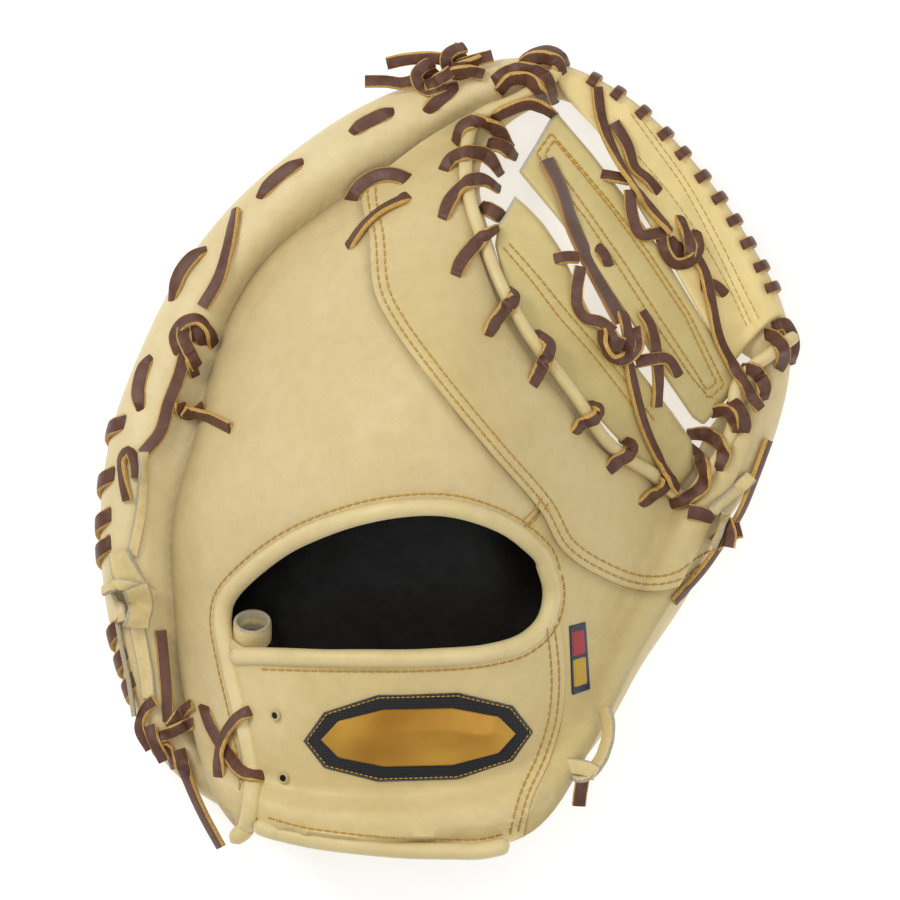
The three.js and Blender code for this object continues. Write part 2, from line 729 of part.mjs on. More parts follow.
// Bindings and the welt, and the room that the panels leave for them
const fingerBinding = bindingStations(fingerBindingLine, 28);
const strapBinding = bindingStations(strapBindingLine, 18);
const strapHem = bindingStations(strapHemLine, 9);
const welt = weltPoints.map((_, i) => weltStation(i / (weltPoints.length - 1)));
const weltTube = sweep(welt, roundSection(weltRadius));
const edgings = [
  sweep(fingerBinding, roundSection(bindingRadius + seamGap)),
  sweep(strapBinding, roundSection(bindingRadius + seamGap)),
  sweep(strapHem, roundSection(strapHemRadius + seamGap)),
  sweep(welt, roundSection(weltRadius + seamGap)),
];

// Panels of the back shell, cut from one curved sheet along the seams
const far = 2.5;
const crotchRegion = [
  ...planLine(crotchSeam, 28),
  place({ across: far, along: -0.225 }),
  place({ across: far, along: far }),
  place({ across: -0.029, along: far }),
];
const thumbRegion = [
  ...thumbSeam.slice(0, 4).map(place),
  ...planLine(strapSeam, 14),
  place({ across: 0.194, along: -far }),
  place({ across: far, along: -far }),
  place({ across: far, along: 0.3 }),
];
const strapRegion = [
  ...planLine(strapSeam, 14).reverse(),
  place(thumbSeam[3]),
  ...strapLeftEdge.map(place).reverse(),
];
const sheet = discSolid(backRings, backUnder, backTop);
const opening = prism(planLine(openingLine, 32, true));
const beyondWelt = prism(webSide(weltRadius + seamGap));
const beyondStrap = prism([
  ...planLine(strapHemLine, 18),
  place({ across: 0.35, along: -1.2 }),
  place({ across: -0.6, along: -1.2 }),
]);
const palmDisc = discSolid(palmRings, palmUnder, palmTop);
const shell = cut(sheet, moved(palmDisc, 0, 0, seamGap), opening, beyondWelt, ...edgings, weltTunnel);
const crotch = largest(shell.intersect(prism(crotchRegion)));
const thumb = largest(cut(shell.intersect(prism(thumbRegion)), prism(crotchRegion, seamGap)));
const strap = largest(cut(shell, beyondStrap).intersect(prism(strapRegion)));
const finger = largest(
  cut(
    shell,
    prism(crotchRegion, seamGap),
    prism(thumbRegion, seamGap),
    prism(strapRegion, seamGap),
  ),
);

// The palm with its web window, and the lining on the floor of the hand's hollow
const palm = largest(
  cut(palmDisc, prism(planLine(windowEdge, 32, true)), ...rimTunnels),
);
const liningLow = (x, y) => palmTop(x, y) + seamGap;
const liningHigh = (x, y) => liningLow(x, y) + liningThickness;
const lining = discSolid(palmRings, liningLow, liningHigh).intersect(
  prism(planLine(openingLine, 22, true), liningReach),
);

// Web strips
const fold = discSolid(
  backRings,
  (x, y) => palmTop(x, y) - stripDepth,
  (x, y) => palmTop(x, y) + stripRise,
);
const rimFold = discSolid(
  (row, span) => palmRings(row, span).map((t) => Math.max(t, stripInset)),
  (x, y) => palmTop(x, y) + seamGap,
  (x, y) => palmTop(x, y) + outerTop,
);
const stripOf = (rows) => planLine(rows, 28, true);
const innerStrip = clearOf(fold.intersect(prism(stripOf(innerStripEdge))), [palm]);
const middleStrip = clearOf(fold.intersect(prism(stripOf(middleStripEdge))), [palm, innerStrip]);
const outerStrip = clearOf(
  cut(rimFold.intersect(prism(outerStripOutline)), ...rimTunnels, edgings[3]),
  [middleStrip],
);

// Things that lie on the back: each a thin solid that follows the surface under it
function onBack(points, thick) {
  const low = (x, y) => backTop(x, y) + restGap;
  return discSolid(backRings, low, (x, y) => low(x, y) + thick).intersect(prism(points));
}
const patchPoints = [
  [-1, -0.1], [-0.82, 0.55], [-0.35, 0.95], [0.35, 1], [0.82, 0.7], [1, 0.1],
  [0.82, -0.55], [0.35, -0.95], [-0.35, -1], [-0.82, -0.7],
].map(([s, t]) => {
  const c = place(patchCentre);
  return new THREE.Vector2(c.x + s * patchHalfLength, c.y + t * patchHalfWidth);
});

// Routes of the strands that lie on the leather, chosen by eye
const strandRoutes = {
  web_lace_inner: [
    [0.28, 0.725], [0.306, 0.638], [0.343, 0.537], [0.4, 0.412], [0.48, 0.312], [0.546, 0.187],
    [0.606, 0.05], [0.66, -0.03],
  ],
  web_lace_outer: [
    [0.45, 0.84], [0.47, 0.77], [0.543, 0.65], [0.634, 0.55], [0.686, 0.487], [0.74, 0.375],
    [0.794, 0.25], [0.86, 0.16],
  ],
  tip_lace_outer: [
    [-0.18, 0.945], [-0.1, 0.965], [-0.05, 0.94], [0.03, 0.965], [0.1, 0.985],
  ],
  tip_lace_inner: [[-0.24, 0.925], [-0.16, 0.9], [-0.09, 0.885], [0, 0.89], [0.05, 0.915]],
  seam_lace_lower: [[-0.29, 0.5], [-0.24, 0.57], [-0.18, 0.625], [-0.115, 0.655]],
  seam_lace_upper: [[-0.29, 0.625], [-0.25, 0.68], [-0.19, 0.695], [-0.12, 0.68]],
  side_lace: [
    [-0.609, 0.607], [-0.634, 0.475], [-0.7, 0.362], [-0.743, 0.3], [-0.757, 0.2], [-0.8, 0.1],
    [-0.87, 0.005],
  ],
  side_lace_tail: [[-0.8, 0.13], [-0.74, 0.115], [-0.69, 0.09], [-0.623, 0.07]],
  side_thong: [
    [-0.885, -0.03], [-0.895, -0.16], [-0.91, -0.28], [-0.915, -0.36], [-0.92, -0.46],
    [-0.91, -0.58], [-0.895, -0.67],
  ],
  strap_lace_lower: [[-0.69, -0.65], [-0.645, -0.71], [-0.6, -0.775], [-0.53, -0.815]],
  strap_lace_upper: [[-0.577, -0.65], [-0.625, -0.71], [-0.665, -0.79], [-0.675, -0.83]],
  heel_lace: [
    [-0.815, -0.455], [-0.81, -0.58], [-0.8, -0.7], [-0.77, -0.77], [-0.74, -0.86], [-0.7, -0.93],
  ],
  heel_lace_wrap: [[-0.86, -0.72], [-0.83, -0.76], [-0.79, -0.75], [-0.71, -0.71]],
  thumb_lace: [[0.845, -0.06], [0.79, -0.16], [0.73, -0.25], [0.665, -0.34], [0.64, -0.375]],
};
const routeRows = (name) => table("across along", strandRoutes[name]);

// The little finger's loop, standing on the lining inside the opening
const handLoopCentre = { across: -0.53, along: -0.44 };
function handLoopStations() {
  const c = place(handLoopCentre);
  const { point } = seat(c.x, c.y, thongWidth, liningThickness / 2 + loopRadius);
  return Array.from({ length: 15 }, (_, i) => {
    const a = mix(-80, 260, i / 14) * degree;
    const out = new THREE.Vector3(Math.cos(a), 0, Math.sin(a));
    return { point: point.clone().addScaledVector(out, loopRadius), up: out };
  });
}

// A ring of leather on the thumb side of the wrist, with a short toggle through it
const thumbRing = { across: 0.372, along: -0.755, radius: 6.4, band: 6.4, thick: 2, lean: 35 };
function ringSolid(c) {
  const { radius, band, thick, lean } = thumbRing;
  const profile = [
    [radius - thick, -band / 2], [radius, -band / 2], [radius, band / 2], [radius - thick, band / 2],
    [radius - thick, -band / 2],
  ].map(([r, h]) => new THREE.Vector2(r, h));
  const ring = new THREE.LatheGeometry(profile, 14).rotateZ(-lean * degree);
  return solidOf(ring.translate(c.x, c.y, c.z));
}
function toggleSolid(ringCentre) {
  const { radius, band, thick, lean } = thumbRing;
  const along = new THREE.Vector3(Math.sin(lean * degree), Math.cos(lean * degree), 0);
  const foot = ringCentre.clone();
  foot.z -= radius - thick - restGap - laceThickness / 2;
  const stations = [-1.4, 1.4].map((t) => ({
    point: foot.clone().addScaledVector(along, t * band),
    up: new THREE.Vector3(0, 0, 1),
  }));
  return sweep(stations, flatSection(laceWidth * 0.7, laceThickness));
}

// A solid's surface with its closest vertices joined, so that no sliver is left
const weldDistance = 4e-3;
function weldedGeometry(solid) {
  const { vertProperties, triVerts } = solid.getMesh();
  const raw = new THREE.BufferGeometry();
  raw.setAttribute("position", new THREE.Float32BufferAttribute(vertProperties, 3));
  raw.setIndex(new THREE.BufferAttribute(triVerts, 1));
  const welded = mergeVertices(raw, weldDistance);
  const index = [];
  const from = welded.index.array;
  for (let i = 0; i < from.length; i += 3) {
    const [a, b, c] = [from[i], from[i + 1], from[i + 2]];
    if (a !== b && b !== c && c !== a) index.push(a, b, c);
  }
  welded.setIndex(index);
  return welded;
}

// The assembly
const mitt = new THREE.Group();
function add(name, solid, colour = leatherColour, roughness = 0.55) {
  carry(solid);
  const geometry = weldedGeometry(solid);
  geometry.computeVertexNormals();
  const material = new THREE.MeshStandardMaterial({ color: colour, roughness, metalness: 0 });
  const mesh = new THREE.Mesh(geometry, material);
  mesh.name = name;
  mitt.add(mesh);
}
const addLace = (name, solid) => add(name, solid, laceColour, 0.6);
const knotted = (stations, index, wide) =>
  join(laceSolid(stations, wide), sweep(knotStations(stations, index), roundSection(knotRadius)));

add("palm_shell", palm);
add("palm_lining", lining, 0x0a0a0a, 0.4);
add("finger_back_panel", finger);
add("crotch_panel", crotch);
add("thumb_back_panel", thumb);
add("wrist_strap", strap);
add("finger_binding", sweep(fingerBinding, roundSection(bindingRadius)));
add("strap_binding", sweep(strapBinding, roundSection(bindingRadius)));
add("strap_hem", sweep(strapHem, roundSection(strapHemRadius)));
add("web_welt", weltTube);
add("web_strip_inner", innerStrip);
add("web_strip_middle", middleStrip);
add("web_strip_outer", outerStrip);
add("strap_patch", onBack(patchPoints, patchThickness), 0xb8892b, 0.45);
add("woven_tag", onBack(tagCorners.map(place), tagThickness), 0x1b2238, 0.8);
const weltNeighbours = [palm, innerStrip, middleStrip, outerStrip, weltTube];
addLace("welt_lace", clearOf(laceSolid(weltLace), weltNeighbours));
addLace("rim_lace_finger", laceSolid(rimLace));
addLace("rim_lace_web", laceSolid(whipLace));
add("finger_loop", clearOf(laceSolid(handLoopStations(), thongWidth * 1.5, liningThickness), made));
add("side_thong", clearOf(knotted(laidStations(routeRows("side_thong"), thongWidth), 6, thongWidth), made));
const knotAt = { web_lace_inner: 8, web_lace_outer: 8, tip_lace_outer: 2, tip_lace_inner: 2, side_lace: 6 };
for (const name of Object.keys(strandRoutes).filter((key) => key !== "side_thong")) {
  const stations = laidStations(routeRows(name));
  const strand = knotAt[name] ? knotted(stations, knotAt[name]) : laceSolid(stations);
  addLace(name, clearOf(strand, made));
}
const ringSpot = place(thumbRing);
const ringCentre = seat(ringSpot.x, ringSpot.y, thumbRing.radius, thumbRing.radius).point;
add("thumb_ring", clearOf(ringSolid(ringCentre), made));
add("thumb_toggle", clearOf(toggleSolid(ringCentre), made));

// The origin goes to the middle of the footprint
const box = new THREE.Box3().setFromObject(mitt);
const middle = box.getCenter(new THREE.Vector3());
mitt.position.set(-middle.x, -middle.y, -box.min.z);

export default mitt;
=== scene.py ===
# A first baseman mitt for the left hand, seen from its back, dressed for its picture.
# Plan measures are in millimetres, as in the frame's source, and pieces are made in metres.
import math
import random
import bpy
import numpy as np
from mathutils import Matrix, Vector, geometry, noise
from mathutils.bvhtree import BVHTree


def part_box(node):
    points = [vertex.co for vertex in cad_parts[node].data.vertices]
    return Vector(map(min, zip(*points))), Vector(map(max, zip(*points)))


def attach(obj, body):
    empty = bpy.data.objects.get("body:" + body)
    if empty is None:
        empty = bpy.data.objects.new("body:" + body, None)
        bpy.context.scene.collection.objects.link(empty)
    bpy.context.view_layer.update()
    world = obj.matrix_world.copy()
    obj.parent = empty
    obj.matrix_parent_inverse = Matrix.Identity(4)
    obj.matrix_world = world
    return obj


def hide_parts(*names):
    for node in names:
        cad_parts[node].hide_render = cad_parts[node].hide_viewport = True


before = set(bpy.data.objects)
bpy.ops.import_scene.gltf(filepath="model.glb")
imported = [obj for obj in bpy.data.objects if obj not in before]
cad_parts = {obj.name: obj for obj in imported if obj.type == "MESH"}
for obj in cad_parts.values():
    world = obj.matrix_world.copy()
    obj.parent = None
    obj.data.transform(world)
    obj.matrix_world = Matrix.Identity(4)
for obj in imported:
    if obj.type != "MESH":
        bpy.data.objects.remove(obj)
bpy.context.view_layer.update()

# Driving sizes of the mitt, in millimetres
HALF_WIDTH = 140
HALF_LENGTH = 160
POCKET_DEPTH = 66
CAVITY_HEIGHT = 37
PALM_WALL = 9
RIM_WIDTH = 16
RIM_HEIGHT = 15
RIM_FLAT = 1.4
BAND_WIDTH = 36
CREASE_WIDTH = 10
LEATHER = 2.4
WEB_SLOPE = 46
BINDING_RADIUS = 3.6
HEM_RADIUS = 3.5
WELT_RADIUS = 2.7
WELT_CLEARANCE = 2.6
LACE_WIDTH = 5.2
LACE_THICKNESS = 2.0
CREASE_GAP = 0.7
LAP_WIDTH = 3
LAP_RISE = 1.7
PATCH_HALF_LENGTH = 46
PATCH_HALF_WIDTH = 18
PIXEL = 0.4
PHOTO_MIDDLE = 450

# Where stitch rows run beside a line, to its left, in millimetres
CROTCH_ROWS = (-0.4, 2.8)
BINDING_ROW = 5.2
HEM_ROW = 4.6
STRAP_ROWS = (-2.4, -5.4)
POCKET_ROWS = (-2.6, 2.6)

# Studio, in metres and watts
CAMERA_HEIGHT = 4.06
CAMERA_LENS = 400
FLOOR_REACH = 6
FLOOR_GLOW = 0.54
SKY_STRENGTH = 0.56
LIGHTS = (
    ("key", (-0.9, 0.75, 1.15), 0.6, 10.6, (1, 0.99, 0.97)),
    ("fill", (0.9, -0.4, 1.3), 1.2, 4.4, (1, 1, 1)),
    ("top", (0.1, 0.2, 1.8), 0.9, 5.2, (1, 1, 1)),
)
LIGHT_TARGET = (0, 0, 0.05)

# The middle of the strap patch ties the plan to the frame
PATCH_CENTRE = (-0.09, -0.715)
low_corner, high_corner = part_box("strap_patch")
OFFSET = np.array([
    (low_corner.x + high_corner.x) * 500 - PATCH_CENTRE[0] * HALF_WIDTH,
    (low_corner.y + high_corner.y) * 500 - PATCH_CENTRE[1] * HALF_LENGTH,
    0,
])

# The rim, walked round from the thumb side in steps of 15 degrees
RIM_NAMES = ("reach", "band", "rim", "lift", "mouth", "shoulder")
RIM_STEP = 15
RIM = np.array([
    (0.964, 0.26, 0.75, 0, 0, 2.2),
    (1.045, 0.31, 0.55, 0.4, 0, 2.2),
    (1.026, 0.24, 0.35, 0.65, 0, 2.2),
    (1.016, 0.24, 0.3, 0.75, 0, 2.2),
    (1.023, 0.23, 0.3, 0.75, 0, 2.2),
    (1.0, 0.45, 0.5, 0.5, 0, 2.2),
    (0.922, 0.62, 0.85, 0.1, 0, 2.1),
    (0.874, 0.8, 1, 0, 0, 2.1),
    (0.845, 0.76, 1, 0, 0, 2.2),
    (0.845, 0.71, 1, 0, 0, 2.3),
    (0.862, 0.73, 1, 0, 0, 2.5),
    (0.894, 0.83, 1, 0, 0, 2.8),
    (0.955, 0.95, 1, 0, 0, 3),
    (1.016, 0.86, 1, 0, 0, 3),
    (1.079, 0.79, 0.9, 0, 0, 2.8),
    (1.138, 0.52, 0.75, 0.15, 0.2, 2.6),
    (1.106, -0.13, 0.6, 0.4, 0.95, 2.4),
    (1.032, -0.1, 0.55, 0.5, 1.35, 2.2),
    (0.994, -0.13, 0.55, 0.5, 1.4, 2.2),
    (0.973, -0.18, 0.55, 0.45, 1.25, 2.2),
    (0.893, 0.06, 0.6, 0.3, 0.7, 2.4),
    (0.817, 0.1, 0.7, 0.1, 0.2, 2.6),
    (0.816, 0.14, 0.8, 0, 0, 2.6),
    (0.85, 0.15, 0.8, 0, 0, 2.4),
])
HAND_CENTRE = (-0.029, 0.025)

# Lines on the plan, as shares of the half sizes
WELT_LINE = [
    (0.314, 0.95), (0.191, 0.895), (0.091, 0.812), (0.06, 0.675), (0.097, 0.512), (0.186, 0.312),
    (0.343, 0.125), (0.446, 0.013), (0.557, -0.045), (0.646, -0.1), (0.72, -0.045), (0.766, 0.037),
    (0.9, 0.212), (0.991, 0.32),
]
WINDOW_EDGE = [
    (0.32, 0.885), (0.223, 0.855), (0.134, 0.795), (0.091, 0.725), (0.086, 0.65), (0.12, 0.525),
    (0.206, 0.33), (0.363, 0.142), (0.463, 0.03), (0.571, -0.025), (0.646, -0.07), (0.697, -0.03),
    (0.746, 0.05), (0.877, 0.22), (0.843, 0.245), (0.766, 0.31), (0.686, 0.43), (0.62, 0.535),
    (0.557, 0.63), (0.514, 0.725), (0.44, 0.815),
]
OUTER_STRIP = [
    (0.331, 0.895), (0.423, 0.805), (0.491, 0.72), (0.534, 0.625), (0.6, 0.53), (0.669, 0.42),
    (0.749, 0.3), (0.809, 0.22), (0.857, 0.263), (0.917, 0.32), (1.0, 0.375), (1.1, 0.625),
    (0.9, 0.925), (0.486, 1.15), (0.314, 1.1), (0.306, 0.938),
]
CROTCH_SEAM = [
    (-0.029, 1.075), (-0.186, 0.825), (-0.234, 0.66), (-0.211, 0.537), (-0.194, 0.4), (-0.149, 0.32),
    (-0.029, 0.175), (0.131, 0.005), (0.274, -0.14), (0.337, -0.237), (0.443, -0.3), (0.557, -0.335),
    (0.657, -0.325), (0.749, -0.275), (0.971, -0.225),
]
THUMB_SEAM = [(0.274, -0.14), (0.189, -0.212), (0.1, -0.33), (0.2, -0.4)]
STRAP_SEAM = [
    (0.303, -0.388), (0.32, -0.475), (0.329, -0.575), (0.32, -0.675), (0.286, -0.775),
    (0.234, -0.875), (0.206, -0.988), (0.194, -1.125),
]
OPENING_LINE = [
    (-0.623, -0.475), (-0.651, -0.425), (-0.64, -0.375), (-0.586, -0.318), (-0.457, -0.233),
    (-0.3, -0.175), (-0.143, -0.145), (0.014, -0.145), (0.157, -0.188), (0.257, -0.258),
    (0.289, -0.35), (0.271, -0.425), (0.214, -0.475), (0.114, -0.502), (-0.057, -0.515),
    (-0.314, -0.517), (-0.514, -0.515),
]
FINGER_BINDING = [
    (-0.583, -0.945), (-0.566, -0.87), (-0.566, -0.8), (-0.583, -0.712), (-0.606, -0.625),
    (-0.629, -0.54), (-0.651, -0.425), (-0.64, -0.375), (-0.586, -0.318), (-0.457, -0.233),
    (-0.3, -0.175), (-0.143, -0.145), (0.014, -0.145), (0.157, -0.188), (0.222, -0.229),
    (0.262, -0.266), (0.279, -0.31),
]
STRAP_BINDING = [
    (0.262, -0.266), (0.289, -0.35), (0.271, -0.425), (0.214, -0.475), (0.114, -0.502),
    (-0.057, -0.515), (-0.314, -0.517), (-0.54, -0.515),
]
STRAP_HEM = [
    (-0.53, -0.945), (-0.43, -0.968), (-0.286, -0.985), (-0.143, -0.996), (0, -1), (0.086, -1),
    (0.17, -0.985),
]
STRAP_LEFT = [
    (-0.54, -1.125), (-0.54, -0.95), (-0.566, -0.87), (-0.566, -0.8), (-0.583, -0.712),
    (-0.606, -0.625), (-0.629, -0.54), (-0.4, -0.4),
]
TAG_CORNERS = [(0.34, -0.44), (0.389, -0.43), (0.403, -0.6), (0.349, -0.615)]


# Plan helpers
def clamp01(t):
    return np.clip(t, 0, 1)


def mix(a, b, t):
    return a + (b - a) * t


def smooth(a, b, t):
    s = clamp01((t - a) / (b - a))
    return s * s * (3 - 2 * s)


def place(rows):
    """Shares of the half sizes as plan points."""
    return np.array(rows, float).reshape(-1, 2) * (HALF_WIDTH, HALF_LENGTH)


def from_photo(rows):
    """Pixels of the photo as plan points."""
    p = np.array(rows, float).reshape(-1, 2)
    return np.column_stack(((p[:, 0] - PHOTO_MIDDLE) * PIXEL, (PHOTO_MIDDLE - p[:, 1]) * PIXEL))


def smooth_line(points, spacing, closed=False):
    """Evenly spaced points on a centripetal curve through points of any dimension."""
    p = np.asarray(points, float)
    if closed:
        p = np.vstack((p[-1:], p, p[:2]))
    else:
        p = np.vstack((2 * p[0] - p[1], p, 2 * p[-1] - p[-2]))
    dense = []
    t = np.linspace(0, 1, 24, endpoint=False)[:, None]
    for i in range(1, len(p) - 2):
        x0, x1, x2, x3 = p[i - 1:i + 3]
        pairs = ((x0, x1), (x1, x2), (x2, x3))
        d0, d1, d2 = (max(np.linalg.norm(b - a), 1e-6) ** 0.5 for a, b in pairs)
        m1 = ((x1 - x0) / d0 - (x2 - x0) / (d0 + d1) + (x2 - x1) / d1) * d1
        m2 = ((x2 - x1) / d1 - (x3 - x1) / (d1 + d2) + (x3 - x2) / d2) * d1
        dense.append(
            x1 + m1 * t + (3 * (x2 - x1) - 2 * m1 - m2) * t ** 2 + (2 * (x1 - x2) + m1 + m2) * t ** 3
        )
    dense = np.vstack(dense + [p[-2][None]])
    return spaced(dense, spacing, closed)


def directions(line):
    """Unit vectors along a line."""
    ahead = np.gradient(line, axis=0)
    return ahead / (np.linalg.norm(ahead, axis=1)[:, None] + 1e-9)


def run_along(line):
    """The length of a line up to each of its points."""
    return np.concatenate(([0], np.cumsum(np.linalg.norm(np.diff(line, axis=0), axis=1))))


def spaced(dense, spacing, closed=False):
    """Evenly spaced points along a line of any dimension."""
    run = run_along(dense)
    count = max(2, int(round(run[-1] / spacing)))
    at = np.linspace(0, run[-1], count + 1)
    if closed:
        at = at[:-1]
    return np.column_stack([np.interp(at, run, dense[:, k]) for k in range(dense.shape[1])])


def offset_line(line, distance):
    """The line moved to its left."""
    ahead = directions(line)
    return line + np.column_stack((-ahead[:, 1], ahead[:, 0])) * distance


def signed_area(ring):
    """Twice the area, above 0 where the ring runs anticlockwise."""
    return np.sum(ring[:, 0] * np.roll(ring[:, 1], -1) - ring[:, 1] * np.roll(ring[:, 0], -1))


def is_inside(polygon, x, y):
    """Which plan points lie inside a closed polygon."""
    inside = np.zeros(np.shape(x), bool)
    a = polygon
    b = np.roll(polygon, 1, axis=0)
    for (ax, ay), (bx, by) in zip(a, b):
        if ay == by:
            continue
        crosses = (ay > y) != (by > y)
        inside ^= crosses & (x < (bx - ax) * (y - ay) / (by - ay) + ax)
    return inside


def distance_to(line, x, y, closed=False):
    """How far plan points are from a line."""
    best = np.full(np.shape(x), 1e9)
    ends = np.roll(line, -1, axis=0) if closed else line[1:]
    for (ax, ay), (bx, by) in zip(line, ends):
        dx, dy = bx - ax, by - ay
        t = clamp01(((x - ax) * dx + (y - ay) * dy) / (dx * dx + dy * dy + 1e-12))
        best = np.minimum(best, np.hypot(x - ax - t * dx, y - ay - t * dy))
    return best


# The form of the mitt
def rim_at(bearing):
    """The rim table between its stations, as a curve through them."""
    n = len(RIM)
    at = np.mod(np.asarray(bearing, float) / RIM_STEP, n)
    i = np.floor(at).astype(int)
    t = (at - i)[..., None]
    a, b, c, d = (RIM[(i + k) % n] for k in (-1, 0, 1, 2))
    row = b + 0.5 * t * (c - a + t * (2 * a - 5 * b + 4 * c - d + t * (3 * (b - c) + d - a)))
    named = {name: row[..., k] for k, name in enumerate(RIM_NAMES)}
    named["mouth"] = np.maximum(0, named["mouth"])
    named["lift"] = np.maximum(0, named["lift"])
    return named


def span_at(bearing, row):
    """Distance from the hand centre to the outline, in millimetres."""
    angle = np.radians(bearing)
    return row["reach"] * np.hypot(np.cos(angle) * HALF_WIDTH, np.sin(angle) * HALF_LENGTH)


def point_at(bearing, inset):
    """The plan point at a bearing, that far inside the outline."""
    row = rim_at(bearing)
    share = row["reach"] * (1 - inset / span_at(bearing, row))
    angle = np.radians(bearing)
    across = HAND_CENTRE[0] + share * np.cos(angle)
    along = HAND_CENTRE[1] + share * np.sin(angle)
    return np.stack((across * HALF_WIDTH, along * HALF_LENGTH), axis=-1)


def station(x, y):
    """The rim row, span, share of the reach and inset of plan points."""
    a = x / HALF_WIDTH - HAND_CENTRE[0]
    b = y / HALF_LENGTH - HAND_CENTRE[1]
    bearing = np.degrees(np.arctan2(b, a))
    row = rim_at(bearing)
    span = span_at(bearing, row)
    share = np.hypot(a, b) / row["reach"]
    return row, span, share, (1 - share) * span


def rim_roll(row):
    """The lowest point, half height and width of the rolled rim."""
    low = row["lift"] * RIM_HEIGHT - RIM_FLAT * (1 - clamp01(row["lift"] * 4))
    return low, RIM_HEIGHT * row["rim"], RIM_WIDTH * row["rim"]


def roll_half(inset, wide):
    """The round of the rolled rim, from 0 at its edge to 1 at its width."""
    return np.sqrt(1 - (1 - clamp01(inset / wide)) ** 2)


def palm_under(x, y):
    """Height of the pocket side of the palm."""
    row, span, share, inset = station(x, y)
    low, half, wide = rim_roll(row)
    rise = clamp01((inset - wide) / (span - wide))
    pocket = (POCKET_DEPTH - low) * np.sin(rise * math.pi / 2) ** 1.15
    return np.maximum(0, low + half * (1 - roll_half(inset, wide)) + pocket)


def palm_top(x, y):
    """Height of the hand side of the palm: the rolled rim, the band and the wall."""
    row, span, share, inset = station(x, y)
    low, half, wide = rim_roll(row)
    wall = PALM_WALL * mix(1, mix(0.4, 1, row["rim"]), clamp01(share) ** 2)
    crease = np.maximum(row["band"] * BAND_WIDTH, wide + 3)
    w = smooth(wide, crease + CREASE_WIDTH, inset)
    return mix(low + half * (1 + roll_half(inset, wide)), palm_under(x, y) + wall, w)


WELT = smooth_line(place(WELT_LINE), 3)


def web_side(grow):
    """The plan area beyond the welt, moved towards the hand by grow."""
    line = offset_line(WELT, -grow)
    beyond = 2 * HALF_WIDTH
    corners = [
        (line[-1][0] + beyond, line[-1][1] + beyond / 4),
        (line[-1][0] + beyond, line[0][1] + beyond),
        (line[0][0], line[0][1] + beyond),
    ]
    return np.vstack((line, corners))


WEB_AREA = web_side(0)


def cavity(x, y):
    """Height of the hollow for the hand between the palm and the back."""
    row, span, share, inset = station(x, y)
    band = row["band"] * BAND_WIDTH
    u = clamp01((inset - band) / (span - band))
    from_rim = row["mouth"] + (1 - row["mouth"]) * (1 - (1 - u) ** row["shoulder"])
    v = clamp01(distance_to(WELT, x, y) / WEB_SLOPE)
    hollow = CAVITY_HEIGHT * from_rim * (1 - (1 - v) ** 2.2)
    return np.where(is_inside(WEB_AREA, x, y), 0, hollow)


def back_under(x, y):
    return palm_top(x, y) + CREASE_GAP + cavity(x, y)


def slope_of(height, x, y, step=2):
    """The slopes of a height field across and along."""
    sx = (height(x + step, y) - height(x - step, y)) / (2 * step)
    sy = (height(x, y + step) - height(x, y - step)) / (2 * step)
    return sx, sy


def back_top(x, y):
    sx, sy = slope_of(back_under, x, y)
    return back_under(x, y) + LEATHER * np.minimum(2.4, np.sqrt(1 + sx * sx + sy * sy))


def softness(x, y, size, height, seed=0):
    """Slow unevenness of hand-formed leather."""
    flat = np.column_stack((np.ravel(x), np.ravel(y))) / size
    values = [noise.noise(Vector((px, py, seed))) for px, py in flat]
    return height * np.array(values).reshape(np.shape(x))


